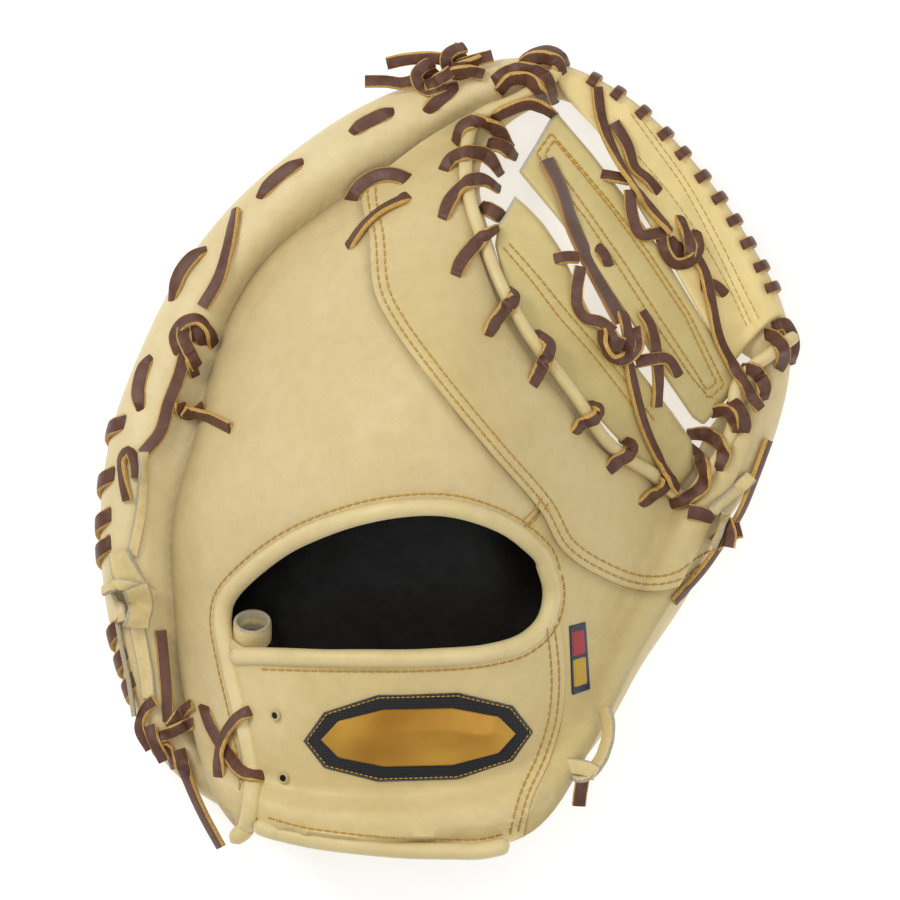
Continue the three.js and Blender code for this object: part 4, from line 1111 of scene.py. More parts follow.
def palm_sides():
    """Plan triangles of the palm, with its outline and its window."""
    outline = ring_at(0.02)
    window = smooth_line(place(WINDOW_EDGE), 2, True)
    wide = rim_roll(rim_at(RIM_BEARINGS))[2]
    turns = np.radians(np.arange(12, 91, 13))
    rings = [point_at(RIM_BEARINGS, wide * (1 - math.cos(turn))) for turn in turns]
    rings += [offset_line(window, step) for step in (-0.6, -1.6, -3, 0.6, 1.6, 3)]

    def inside(x, y):
        return is_inside(outline, x, y) & ~is_inside(window, x, y)

    verts, faces = plan_triangles([(outline, True), (window, True)], inside, 3, rings)
    return verts, faces, outline, window


def make_palm():
    """The padded palm, open under the web, with its seams on the pocket side."""
    verts, faces, outline, window = palm_sides()
    x, y = verts[:, 0], verts[:, 1]
    row, span, share, inset = station(x, y)
    on_rim = distance_to(outline, x, y, True) < 0.05
    calm = smooth(2, 14, inset)
    top = palm_top(x, y) + softness(x, y, 30, 0.7, 3) * calm
    under = palm_under(x, y) + softness(x, y, 40, 0.9, 9) * calm
    edge = distance_to(window, x, y, True)
    short = np.maximum(0, WINDOW_ROUND - edge)
    round_off = WINDOW_ROUND - np.sqrt(np.maximum(0, WINDOW_ROUND ** 2 - short ** 2))
    top = top - round_off
    under = under + round_off * 0.8
    for line in RIM_SLITS:
        top = top - SLIT_DEPTH * np.exp(-(distance_to(line, x, y) / SLIT_REACH) ** 2)
    # Painted shade in the crease along the band's fold.
    fold = row["band"] * BAND_WIDTH
    shade = FOLD_SHADE * np.exp(-((inset - fold + 1) / FOLD_REACH) ** 2) * (row["band"] > 0.3)
    under_seams = [smooth_line(place(line), 3) for line in POCKET_SEAMS]
    seam = np.full(len(x), 1e9)
    for line in under_seams:
        seam = np.minimum(seam, distance_to(line, x, y))
    under = under + POCKET_SEAM_DEPTH * np.exp(-(seam / POCKET_SEAM_REACH) ** 2) * calm
    bottom = np.column_stack((verts, np.minimum(under, top - 0.2)))
    bottom[on_rim, 2] = top[on_rim] - 0.05
    piece = two_faced("palm", verts, faces, top, bottom, ["palm"], {"shade": shade}, 0, 60)
    hand_in(piece, "leather", "palm_shell", fill=0.8)
    sewing = Sewing()
    for line in under_seams:
        for side in POCKET_ROWS:
            sewing.row(offset_line(line, side), under=lambda px, py: float(palm_under(px, py)))
    hand_in(sewing.piece("palm_stitching", "thread_pale"), "leather")


# The back: three panels and the strap
BACK_EDGE = point_at(RIM_BEARINGS, rim_at(RIM_BEARINGS)["band"] * BAND_WIDTH)
OPENING = smooth_line(place(OPENING_LINE), 2, True)
CROTCH_LINE = smooth_line(place(CROTCH_SEAM), 2)
STRAP_LINE = smooth_line(place(STRAP_SEAM), 2)
FAR = 2.5
CROTCH_REGION = np.vstack((CROTCH_LINE, place([(FAR, -0.225), (FAR, FAR), (-0.029, FAR)])))
LAP_LINE = offset_line(CROTCH_LINE, -LAP_WIDTH)
LAPPED_REGION = np.vstack((LAP_LINE, place([(FAR, -0.3), (FAR, FAR), (-0.1, FAR)])))
THUMB_REGION = np.vstack((place(THUMB_SEAM), STRAP_LINE, place([(0.194, -FAR), (FAR, -FAR), (FAR, 0.3)])))
STRAP_REGION = np.vstack((STRAP_LINE[::-1], place(THUMB_SEAM)[3:], place(STRAP_LEFT)[::-1]))
HEM_LINE = smooth_line(place(STRAP_HEM), 2)
BELOW_HEM = np.vstack((HEM_LINE, place([(0.35, -1.2), (-0.6, -1.2)])))
WELT_SIDE = web_side(WELT_CLEARANCE)
WELT_EDGE = WELT_SIDE[:len(WELT)]
THUMB_LINE = spaced(place(THUMB_SEAM), 2)
STRAP_SIDE = spaced(place(STRAP_LEFT), 2)
BINDING_LINE = smooth_line(place(FINGER_BINDING), 1.5)
STRAP_BINDING_LINE = smooth_line(place(STRAP_BINDING), 1.5)

# The finger panel's tip at the heel, and the turns that the bindings' ends take
FINGER_TIP = from_photo([
    (253, 800), (251, 815), (247, 826), (240, 834), (231, 837), (222, 830), (213, 817),
])
PAST_TIP = np.vstack((FINGER_TIP, from_photo([(190, 880), (290, 880), (290, 800)])))
BINDING_TURN = from_photo([(229, 836), (235, 837), (242, 833)])
STRAP_TURN = place([(-0.585, -0.516), (-0.62, -0.518)])
HEM_START = place([(-0.56, -0.93)])


def on_back(x, y):
    """Where the back lies: inside its edge, outside the opening and the web."""
    return is_inside(BACK_EDGE, x, y) & ~is_inside(OPENING, x, y) & ~is_inside(WELT_SIDE, x, y)


def in_crotch(x, y):
    return on_back(x, y) & is_inside(LAPPED_REGION, x, y)


def in_thumb(x, y):
    return on_back(x, y) & is_inside(THUMB_REGION, x, y) & ~is_inside(CROTCH_REGION, x, y)


def in_strap(x, y):
    return on_back(x, y) & is_inside(STRAP_REGION, x, y) & ~is_inside(BELOW_HEM, x, y)


def in_finger(x, y):
    taken = is_inside(CROTCH_REGION, x, y) | is_inside(THUMB_REGION, x, y) | is_inside(STRAP_REGION, x, y)
    return on_back(x, y) & ~taken & ~is_inside(PAST_TIP, x, y)


def crotch_height(x, y):
    """The crotch panel lies over its neighbours along its seam."""
    lap = np.exp(-(distance_to(CROTCH_LINE, x, y) / 7) ** 2)
    return back_top(x, y) + LAP_RISE * lap


def make_back():
    """The three panels of the back and the wrist strap."""
    back_edge = (BACK_EDGE, True)
    opening = (OPENING, True)
    welt_edge = (WELT_EDGE, False)
    crotch_rows = [offset_line(CROTCH_LINE, side) for side in CROTCH_ROWS]
    binding_row = offset_line(BINDING_LINE, BINDING_ROW)
    tip = (spaced(FINGER_TIP, 1.5), False)
    finger_loops = [back_edge, opening, (CROTCH_LINE, False), (THUMB_LINE, False), (STRAP_SIDE, False), tip]
    # The shade_lines paint shade into each panel's colour beside the crotch lap, the bindings, the welt and
    # the crease against the palm's band.
    finger = sheet(
        "finger_panel", finger_loops, in_finger, 3, back_top, ["back", "raw"],
        edge_lines=(BACK_EDGE,), edge_radius=2.2, seams=(binding_row,),
        shade_lines=((LAP_LINE, 2.6, 0.55), (BINDING_LINE, 4.6, 0.3), (BACK_EDGE, 2.6, 0.5)),
        wall_finish=0, soft=1.1, seed=21,
    )
    hand_in(finger, "leather", "finger_back_panel", fill=0.2)
    crotch_loops = [back_edge, opening, welt_edge, (LAP_LINE, False)]
    crotch = sheet(
        "crotch_piece", crotch_loops, in_crotch, 2.6, crotch_height, ["crotch", "raw"],
        edge_lines=(LAP_LINE,), edge_radius=0.7, seams=crotch_rows,
        shade_lines=((WELT_EDGE, 2.2, 0.45),), soft=0.9, seed=33,
    )
    hand_in(crotch, "leather", "crotch_panel", fill=0.2)
    thumb_loops = [back_edge, opening, (CROTCH_LINE, False), (THUMB_LINE, False), (STRAP_LINE, False)]
    thumb = sheet(
        "thumb_panel", thumb_loops, in_thumb, 3, back_top, ["thumb", "raw"],
        edge_lines=(STRAP_LINE,), edge_radius=0.8,
        shade_lines=((LAP_LINE, 2.6, 0.5), (BACK_EDGE, 2.6, 0.35)), wall_finish=0, soft=0.9, seed=45,
    )
    hand_in(thumb, "leather", "thumb_back_panel", fill=0.2)
    strap_row = offset_line(STRAP_BINDING_LINE, BINDING_ROW)
    hem_row = offset_line(HEM_LINE, HEM_ROW)
    strap_loops = [opening, back_edge, (STRAP_LINE, False), (STRAP_SIDE, False), (HEM_LINE, False)]
    strap = sheet(
        "strap", strap_loops, in_strap, 2.8, back_top, ["strap", "raw"],
        edge_lines=(STRAP_LINE,), edge_radius=0.9,
        seams=(strap_row, hem_row, offset_line(STRAP_LINE, STRAP_ROWS[0])),
        shade_lines=((STRAP_BINDING_LINE, 4.6, 0.3),), wall_finish=0, soft=0.8, seed=57,
    )
    hand_in(strap, "leather", "wrist_strap", fill=0.2)


def back_middle(line):
    """A plan line in the middle of the back's leather."""
    x, y = line[:, 0], line[:, 1]
    return np.column_stack((line, (back_under(x, y) + back_top(x, y)) / 2))


def make_bindings():
    """The rolled edges of the opening and of the strap."""
    turned = smooth_line(np.vstack((BINDING_TURN, place(FINGER_BINDING))), 1.5)
    tucked = smooth_line(np.vstack((place(STRAP_BINDING), STRAP_TURN)), 1.5)
    hem = smooth_line(np.vstack((HEM_START, place(STRAP_HEM))), 1.5)
    rows = (
        ("opening_binding", turned, BINDING_RADIUS, 0.4, "finger_binding", 1),
        ("strap_top_binding", tucked, BINDING_RADIUS, 0.2, "strap_binding", 2),
        ("strap_low_binding", hem, HEM_RADIUS, 1.3, "strap_hem", 3),
    )
    for name, line, radius, lift, node, seed in rows:
        path = back_middle(line) + (0, 0, lift)
        piece = tube(name, path, radius, ["binding"], sides=16, rough=0.015, seed=seed)
        hand_in(piece, "binding_leather", node)


# The welt along the crotch panel and the web strips: its height, and the points its end loses
WELT_RISE = 5
WELT_LOST = 8


def welt_path():
    """The welt's middle line, clear of the panel and the palm beside it."""
    x, y = WELT[:, 0], WELT[:, 1]
    sx, sy = slope_of(palm_top, x, y)
    up = np.column_stack((-sx, -sy, np.ones(len(x))))
    up /= np.linalg.norm(up, axis=1)[:, None]
    ahead = directions(WELT)
    highest = np.zeros(len(x))
    for step in (-8, -4, 0, 5.4):
        qx = x - ahead[:, 1] * step
        qy = y + ahead[:, 0] * step
        highest = np.maximum(highest, (palm_top(qx, qy) - palm_top(x, y)) * up[:, 2])
    return np.column_stack((WELT, palm_top(x, y))) + up * (blurred(highest, 3) + WELT_RISE)[:, None]


def make_welt():
    path = welt_path()
    fine = spaced(path, 1.5)[:-WELT_LOST]
    piece = tube("welt", fine, WELT_RADIUS, ["binding"], sides=14, rough=0.02, seed=7)
    hand_in(piece, "binding_leather", "web_welt")


def strip_piece(name, rows, low, high, node, seed, seams, radius=2.4, clip=None, ends=(), finish="strip"):
    """A folded strip of web leather with rounded folds."""
    corners = np.asarray(rows, float)
    outline = spaced(np.vstack((corners, corners[:1])), 1.6, True)
    ccw = signed_area(outline) > 0
    loops = [(outline, True)] + ([(clip, True)] if clip is not None else [])

    def inside(x, y):
        kept = is_inside(outline, x, y)
        return kept & is_inside(clip, x, y) if clip is not None else kept

    rings = [offset_line(outline, step if ccw else -step) for step in (0.3, 0.9, 1.7, 2.6)]
    if clip is not None:
        rings += [offset_line(clip, step) for step in (0.3, 0.9, 1.7)]
    rings += [offset_line(line, side) for line in seams for side in (-1, 0, 1)]
    verts, faces = plan_triangles(loops, inside, 2.2, rings)
    x, y = verts[:, 0], verts[:, 1]
    edge = distance_to(outline, x, y, True)
    if clip is not None:
        edge = np.minimum(edge, distance_to(clip, x, y, True))
    share = clamp01(edge / radius)
    fold = np.sqrt(1 - (1 - share) ** 2)
    up = high(x, y)
    down = low(x, y)
    middle = (up + down) / 2
    top = middle + (up - middle) * mix(0.15, 1, fold) + softness(x, y, 22, 0.5, seed) * share
    for line in seams:
        top = top - 0.5 * np.exp(-(distance_to(line, x, y) / 0.9) ** 2)
    bottom = middle + (down - middle) * mix(0.15, 1, fold)
    raw = np.zeros(len(x))
    for line in ends:
        raw = np.maximum(raw, np.exp(-(distance_to(from_photo(line), x, y) / 1.1) ** 4))
    bare = {"shade": np.zeros(len(x)), "bare": raw}
    lower = np.column_stack((verts, bottom))
    piece = two_faced(name, verts, faces, top, lower, [finish, "raw"], bare, 1, 60)
    hand_in(piece, "strip_leather", node, fill=0.3)


INNER_STRIP = from_photo([
    (515, 195), (529, 207), (543, 222), (560, 247), (574, 278), (590, 312), (618, 342), (648, 380),
    (674, 412), (694, 440), (696, 470), (680, 490), (655, 476), (632, 454), (603, 423), (572, 386),
    (542, 347), (519, 314), (503, 278), (495, 245), (498, 224),
])
INNER_STRIP_END = [(498, 224), (515, 195)]
MIDDLE_STRIP = from_photo([
    (556, 107), (570, 124), (592, 150), (624, 192), (660, 246), (696, 305), (726, 352), (744, 382),
    (706, 425), (694, 417), (668, 380), (632, 322), (594, 264), (555, 214), (519, 170), (536, 142),
])
MIDDLE_STRIP_END = [(519, 170), (536, 142), (556, 107)]
INNER_ROWS = [
    [(503, 247), (530, 279), (560, 318), (590, 352), (622, 392), (652, 432)],
    [(509, 243), (537, 275), (568, 313), (598, 348), (630, 387), (658, 424)],
]
MIDDLE_ROWS = [
    [(552, 131), (575, 158), (610, 200), (650, 252), (690, 312), (726, 384), (712, 398),
     (694, 378), (655, 322), (620, 268), (585, 216), (560, 184), (537, 152), (552, 131)],
    [(555, 138), (578, 166), (612, 208), (648, 258), (686, 315), (718, 382), (709, 390),
     (696, 370), (660, 316), (625, 262), (590, 212), (566, 178), (545, 153), (555, 138)],
]
OUTER_ROWS = [
    [(640, 112), (664, 144), (692, 184), (722, 238), (748, 290), (764, 322)],
    [(632, 110), (656, 143), (685, 184), (714, 238), (741, 294), (756, 326)],
    [(622, 134), (645, 160), (672, 192), (700, 232), (728, 280), (750, 326)],
]


def make_strips():
    """The three strips of the web with their stitching."""
    window = smooth_line(place(WINDOW_EDGE), 3, True)

    def sunk(depth, over_palm):
        """Low inside the window, and over the palm where a strip laps its edge."""
        def height(x, y):
            inner = np.where(is_inside(window, x, y), distance_to(window, x, y, True), 0)
            return palm_top(x, y) + mix(over_palm, depth, smooth(0.5, 7, inner))
        return height

    def tucked(height, drop):
        """Bends a strip down where the middle strip crosses over it."""
        def lower(x, y):
            away = distance_to(MIDDLE_STRIP, x, y, True)
            beside = np.where(is_inside(MIDDLE_STRIP, x, y), 0, away)
            return height(x, y) - drop * (1 - smooth(1, 8, beside))
        return lower

    inner_lines = [smooth_line(from_photo(row), 2) for row in INNER_ROWS]
    middle_lines = [spaced(from_photo(row), 2) for row in MIDDLE_ROWS]
    outer_lines = [smooth_line(from_photo(row), 2) for row in OUTER_ROWS]
    strip_piece(
        "web_strip_a", INNER_STRIP, tucked(sunk(-3, 0.4), 5.4), tucked(sunk(2, 3.6), 6),
        "web_strip_inner", 61, inner_lines, ends=[INNER_STRIP_END],
    )
    strip_piece(
        "web_strip_b", MIDDLE_STRIP, sunk(-2.4, 0.4), sunk(3.2, 4.2),
        "web_strip_middle", 62, middle_lines, ends=[MIDDLE_STRIP_END],
    )
    strip_piece(
        "web_strip_c", smooth_line(place(OUTER_STRIP), 2, True), sunk(0.4, 0.4), sunk(3.6, 3.6),
        "web_strip_outer", 63, outer_lines, radius=1.8, clip=ring_at(1), finish="outer_strip",
    )
    sewing = Sewing()
    for line in inner_lines + middle_lines:
        sewing.row(line)
    hand_in(sewing.piece("web_stitching"), "strip_leather")
    pale = Sewing()
    for line in outer_lines:
        pale.row(line, radius=0.3)
    hand_in(pale.piece("rim_stitching", "thread_pale"), "strip_leather")


# How far the lining goes under the back, past the opening's edge
LINING_REACH = 13


def make_lining():
    """The black lining on the floor of the hollow, bowed up at its sides."""
    middle = HALF_WIDTH * HAND_CENTRE[0]
    edge = offset_line(OPENING, -LINING_REACH)
    if abs(edge[0, 0] - middle) < abs(OPENING[0, 0] - middle):
        edge = offset_line(OPENING, LINING_REACH)
    loops = [(edge, True)]

    def inside(x, y):
        return is_inside(edge, x, y) & is_inside(BACK_EDGE, x, y)

    verts, faces = plan_triangles(loops, inside, 3)
    x, y = verts[:, 0], verts[:, 1]
    top = palm_top(x, y) + 1.6 + softness(x, y, 16, 1.4, 71)
    bottom = np.column_stack((verts, palm_top(x, y) + 0.3))
    piece = two_faced("lining", verts, faces, top, bottom, ["lining"], {"shade": np.zeros(len(x))})
    hand_in(piece, "lining_leather", "palm_lining", fill=0.4)


# Patch and tag: raised, bare and generic
PATCH_SHAPE = [
    (-1, -0.1), (-0.82, 0.55), (-0.35, 0.95), (0.35, 1), (0.82, 0.7),
    (1, 0.1), (0.82, -0.55), (0.35, -0.95), (-0.35, -1), (-0.82, -0.7),
]
EYELETS = ((275, 715), (283, 778))
EYELET_PROFILE = [(2.4, -0.3), (2.1, 0.3), (1.75, 0.35), (1.5, 0.12), (1.4, 0.1)]
EYELET_SIDES = 20


def patch_outline(share):
    """The patch's outline, drawn in evenly at its sides and less at its ends."""
    centre = place(PATCH_CENTRE)[0]
    half = np.array((PATCH_HALF_LENGTH, PATCH_HALF_WIDTH))
    shrink = 1 - (1 - share) * np.array((0.45, 1))
    return centre + np.array(PATCH_SHAPE) * half * shrink


def raised(name, outline, base, rise, bevel, finishes, spacing=1.4, crown=0.0):
    """A flat piece on the back with bevelled sides, crowned towards its middle."""
    ring = spaced(np.vstack((outline, outline[:1])), 1.2, True)
    way = 1 if signed_area(ring) > 0 else -1
    rings = [offset_line(ring, step * way) for step in (bevel * 0.5, bevel, bevel * 1.6)]
    verts, faces = plan_triangles([(ring, True)], lambda x, y: is_inside(ring, x, y), spacing, rings)
    x, y = verts[:, 0], verts[:, 1]
    edge = distance_to(ring, x, y, True)
    ground = back_top(x, y) + base
    top = ground + rise * np.sqrt(1 - (1 - clamp01(edge / bevel)) ** 2) + crown * clamp01(edge / 9)
    bottom = np.column_stack((verts, ground - 0.05))
    return two_faced(name, verts, faces, top, bottom, finishes, {"shade": np.zeros(len(x))}, 0, 40)


def make_patch():
    """The felt patch with a plain faceted gold relief."""
    felt = raised("patch_border", patch_outline(1), 0.15, 1.3, 0.7, ["felt"])
    hand_in(felt, "patch_cloth", "strap_patch")
    gold = raised("patch_relief", patch_outline(0.66), 1.35, 0.5, 0.5, ["gold"], 1.2, 2.4)
    hand_in(gold, "patch_cloth")
    sewing = Sewing()
    ring = patch_outline(0.93)
    sewing.row(np.vstack((ring, ring[:1])), pitch=2, length=1.7, radius=0.22)
    hand_in(sewing.piece("patch_stitching", "thread"), "patch_cloth")


def make_tag():
    """The woven tag with two plain coloured fields."""
    corners = place(TAG_CORNERS)
    border = raised("tag_border", corners, 0.3, 0.8, 0.5, ["navy"], 1.2)
    hand_in(border, "tag_cloth", "woven_tag")

    def field(left, right, top_share, low_share):
        upper, lower = mix(corners[0], corners[3], left), mix(corners[0], corners[3], right)
        far_upper, far_lower = mix(corners[1], corners[2], left), mix(corners[1], corners[2], right)
        return np.array([
            mix(upper, far_upper, top_share), mix(upper, far_upper, low_share),
            mix(lower, far_lower, low_share), mix(lower, far_lower, top_share),
        ])

    hand_in(raised("tag_red", field(0.1, 0.45, 0.14, 0.86), 1.05, 0.3, 0.3, ["red"], 1), "tag_cloth")
    hand_in(raised("tag_yellow", field(0.5, 0.9, 0.14, 0.86), 1.05, 0.3, 0.3, ["yellow"], 1), "tag_cloth")


def make_eyelets():
    """Two punched holes of the strap, as cups with a pressed lip, dark from painted shade."""
    for k, pixel in enumerate(EYELETS):
        x, y = from_photo([pixel])[0]
        z = max(top_at(x + dx, y + dy) for dx in (-1.6, 1.6) for dy in (-1.6, 1.6))
        sx, sy = slope_of(back_top, np.array([x]), np.array([y]))
        up = Vector((-float(sx[0]), -float(sy[0]), 1)).normalized()
        side = up.cross(Vector((0, 1, 0))).normalized()
        ahead = side.cross(up)
        points = []
        faces = []
        for radius, rise in EYELET_PROFILE:
            for j in range(EYELET_SIDES):
                a = 2 * math.pi * j / EYELET_SIDES
                out = side * (radius * math.cos(a)) + ahead * (radius * math.sin(a))
                points.append(tuple(Vector((x, y, z)) + out + up * rise))
        last = len(EYELET_PROFILE) - 1
        for i in range(last):
            for j in range(EYELET_SIDES):
                a, b = i * EYELET_SIDES + j, i * EYELET_SIDES + (j + 1) % EYELET_SIDES
                faces.append((a, a + EYELET_SIDES, b + EYELET_SIDES, b))
        faces.append(tuple(last * EYELET_SIDES + j for j in reversed(range(EYELET_SIDES))))
        # The hole's floor is a black disc with the lining finish, and the whole cup gets painted shade, both
        # for the shade inside the hole.
        kinds = [0] * (len(faces) - 1) + [1]
        shade = {"shade": np.full(len(points), 0.35)}
        piece = mesh_object(f"strap_eyelet_{k}", points, faces, ["strap", "lining"], kinds, shade)
        hand_in(piece, "leather")


# Stitching of the back
def make_back_stitching():
    sewing = Sewing()
    for side in CROTCH_ROWS:
        sewing.row(offset_line(CROTCH_LINE, side)[36:-8])
    sewing.row(offset_line(BINDING_LINE, BINDING_ROW)[10:])
    hand_in(sewing.piece("panel_stitching"), "leather")
    strap = Sewing()
    strap.row(offset_line(STRAP_BINDING_LINE, BINDING_ROW)[6:])
    strap.row(offset_line(HEM_LINE, HEM_ROW))
    for side in STRAP_ROWS:
        strap.row(offset_line(STRAP_LINE, side)[4:-12])
    short = smooth_line(from_photo([(545, 500), (536, 512), (524, 524)]), 2)
    for side in (-1.6, 1.6):
        strap.row(offset_line(short, side))
    hand_in(strap.piece("strap_stitching"), "leather")


# Laces
WELT_ARCS = [
    [(521, 60), (533, 51), (549, 47), (561, 52), (568, 62)],
    [(519, 67), (530, 57), (545, 54), (558, 60), (565, 73)],
    [(490, 81), (506, 70), (525, 66), (545, 74), (556, 98)],
    [(498, 90), (512, 76), (530, 78), (548, 100)],
    [(490, 117), (508, 108), (530, 101), (545, 106), (556, 113)],
    [(456, 140), (463, 124), (480, 119), (498, 127), (511, 143)],
    [(484, 142), (500, 143), (516, 154)],
    [(441, 173), (452, 157), (468, 151), (486, 153), (501, 171)],
    [(441, 224), (450, 200), (465, 183), (482, 178), (499, 187)],
    [(482, 205), (493, 211), (505, 218)],
    [(454, 282), (460, 265), (473, 247), (486, 235), (497, 228)],
    [(484, 341), (494, 324), (506, 308), (515, 298), (508, 289)],
    [(529, 390), (538, 374), (546, 358), (549, 345), (536, 333)],
    [(570, 436), (582, 424), (595, 418), (600, 410), (590, 403)],
    [(605, 474), (617, 462), (629, 454), (632, 446), (623, 439)],
    [(637, 507), (652, 497), (664, 489), (667, 480), (659, 474)],
    [(672, 505), (690, 498), (705, 486), (707, 472), (700, 455), (693, 447)],
    [(692, 434), (708, 434), (721, 441), (726, 455), (719, 473)],
    [(713, 413), (726, 410), (737, 420), (741, 436)],
    [(733, 400), (741, 408), (746, 420), (747, 436)],
    [(745, 368), (757, 370), (766, 382), (766, 403)],
    [(765, 331), (777, 337), (786, 352), (781, 373)],
    [(777, 326), (787, 323), (796, 338), (795, 362)],
]


def make_welt_laces():
    strands = Strands(wide=6.4)
    for k, arc in enumerate(WELT_ARCS):
        lean = 14 if k % 2 else -8
        strands.lay(arc, dive=(6, 8.5), roll=lean, ease=5, step=0.8, taper=(0.75, 0.6))
    hand_in(strands.piece("welt_lacing"), "lace_leather", "welt_lace")


RIM_STUBS = [
    (599, 71), (622, 88), (648, 107), (673, 126), (690, 147), (710, 171), (727, 193), (741, 217), (755, 240),
    (768, 264), (780, 285),
]


def make_rim_laces():
    runs = Strands(wide=6.2)
    for run in RIM_RUNS:
        runs.lay(run, dive=(5, 5), roll=(12, 28, 12), lift=-0.3, ease=3, step=0.9, taper=(0.45, 0.45))
    for path, up in side_whips():
        runs.add(path, up, carried=False)
    hand_in(runs.piece("rim_lacing_left"), "lace_leather", "rim_lace_finger")
    stubs = Strands(wide=4.6)
    for path, up in web_whips():
        stubs.add(path, up, carried=False)
    hand_in(stubs.piece("rim_lacing_web"), "lace_leather", "rim_lace_web")


def wrap_rim(bearing, turn, reach_in, tall, out):
    """A turn of lace over the rim's outer side, from its upper face to its lower one."""
    rim = point_at(bearing, 0)
    ahead = point_at(bearing + 0.5, 0) - point_at(bearing - 0.5, 0)
    ahead /= np.linalg.norm(ahead)
    normal = np.array((ahead[1], -ahead[0]))
    if np.dot(normal, rim - place(HAND_CENTRE)[0]) < 0:
        normal = -normal
    low, half, wide = rim_roll(rim_at(bearing))
    centre_z = float(low + half) + tall[0]
    path = []
    ups = []
    for t in np.linspace(-1, 1, 22):
        a = t * math.pi * 0.62
        across = out + reach_in * (math.cos(a) - 1)
        along = turn * t
        z = centre_z + math.copysign(abs(math.sin(a)) ** 0.8, a) * tall[1]
        plan = rim + normal * across + ahead * along
        path.append((plan[0], plan[1], max(z, 1.6)))
        ups.append((normal[0] * math.cos(a), normal[1] * math.cos(a), math.sin(a)))
    return np.array(path), np.array(ups)


def bearing_of(pixel):
    """The bearing of a pixel seen from the hand centre."""
    x, y = from_photo([pixel])[0]
    return math.degrees(math.atan2(y / HALF_LENGTH - HAND_CENTRE[1], x / HALF_WIDTH - HAND_CENTRE[0]))


def web_whips():
    """Short turns of lace over the rim beside the outer strip."""
    for pixel in RIM_STUBS:
        bearing = bearing_of(pixel)
        half = float(rim_roll(rim_at(bearing))[1])
        yield wrap_rim(bearing, 1, 3.4, (1.8, half + 3.2), 0.9)


SIDE_WHIPS = [(102, 432), (98, 486), (96, 528), (99, 556), (112, 640), (118, 668), (124, 697)]


def side_whips():
    """Slanted turns of lace over the left side of the rim."""
    for pixel in SIDE_WHIPS:
        bearing = bearing_of(pixel)
        half = float(rim_roll(rim_at(bearing))[1])
        yield wrap_rim(bearing, -6, 4.6, (0.6, half * 0.62), 1.1)


def knot(strands, centre, angle, size):
    """The two visible bands of an overhand knot, tied round what already lies there."""
    turn = math.radians(angle)
    under_band = [(-19, -10), (-17, 6), (-9, 18), (6, 18), (17, 7), (16, -12)]
    over_band = [(2, -28), (6, -12), (9, 4), (7, 12)]
    core = [(-15, -6), (-8, 4), (0, 8)]

    def turned(points):
        return [
            (centre[0] + size * (x * math.cos(turn) - y * math.sin(turn)),
             centre[1] + size * (x * math.sin(turn) + y * math.cos(turn)))
            for x, y in points
        ]

    strands.lay(turned(core), wide=9, dive=(2.5, 2.5), roll=-10, ease=1, step=0.9)
    strands.lay(turned(under_band), dive=(3, 3), roll=(25, 30, 20, 10), ease=2, step=0.9)
    strands.lay(turned(over_band), dive=(2.5, 3), roll=(-20, -26, -10), ease=1, step=0.9)


def make_web_laces():
    inner = Strands()
    inner.lay([(597, 246), (604, 254), (609, 266)], dive=(2.6, 2.6), roll=10)
    inner.lay([(552, 260), (565, 257), (579, 257)], dive=(3.2, 1))
    inner.lay(
        [(581, 266), (577, 288), (578, 306), (586, 318), (600, 322), (614, 332)],
        roll=(30, 45, 20), lift=0.6,
    )
    inner.lay([(642, 311), (651, 326), (657, 352), (659, 380), (658, 407)], roll=(-10, 10, 0), dive=(0.5, 0))
    suede = Strands(wide=7.2)
    main = [(547, 158), (561, 188), (571, 220), (584, 250), (604, 288), (622, 322)]
    suede.lay(main, roll=(-12, -20, -26, -20), lift=0.5)
    hand_in(suede.piece("web_lacing_suede", "suede"), "lace_leather")
    inner.lay([(629, 362), (634, 385), (645, 425), (660, 458), (679, 490)], roll=(-18, -24, -14), lift=0.4)
    inner.lay([(636, 362), (652, 359), (668, 359), (680, 376)], dive=(0, 3.4), roll=(-10, -14, 0))
    knot(inner, (621, 340), 0, 1.0)
    hand_in(inner.piece("web_lacing_inner"), "lace_leather", "web_lace_inner")
    outer = Strands()
    outer.lay([(602, 173), (614, 175), (630, 178)], dive=(3.2, 0.8))
    outer.lay(
        [(616, 120), (629, 144), (636, 166), (650, 178), (660, 190)],
        roll=(20, 0, -16, 0), dive=(1, 2.4),
    )
    outer.lay([(631, 188), (633, 212), (642, 233), (656, 232), (670, 229)], roll=(30, 40, 10), lift=0.6)
    outer.lay([(702, 284), (716, 284), (728, 294)], dive=(1, 3.2))
    outer.lay(
        [(598, 84), (603, 118), (618, 156), (642, 194), (672, 230)],
        roll=(-24, -32, -30, -24), lift=0.5,
    )
    outer.lay(
        [(692, 246), (706, 270), (713, 300), (722, 340), (741, 374), (763, 409)],
        roll=(-14, -20, -12), lift=0.3,
    )
    knot(outer, (683, 243), -8, 1.0)
    hand_in(outer.piece("web_lacing_outer"), "lace_leather", "web_lace_outer")


def make_tip_laces():
    outer = Strands()
    outer.lay([(386, 60), (404, 56), (428, 54), (448, 56)], roll=(16, 24, 12), lift=2.5)
    outer.lay([(458, 62), (474, 57), (493, 52)], roll=(-8, -10), lift=2)
    knot(outer, (460, 58), 80, 0.72)
    hand_in(outer.piece("tip_lacing_outer"), "lace_leather", "tip_lace_outer")
    inner = Strands()
    inner.lay([(364, 78), (384, 78), (402, 80), (418, 76)], roll=(-16, -22, -8), lift=2)
    inner.lay([(436, 76), (452, 70), (470, 68), (484, 72)], roll=(20, 10), lift=1)
    knot(inner, (431, 74), 70, 0.75)
    hand_in(inner.piece("tip_lacing_inner"), "lace_leather", "tip_lace_inner")


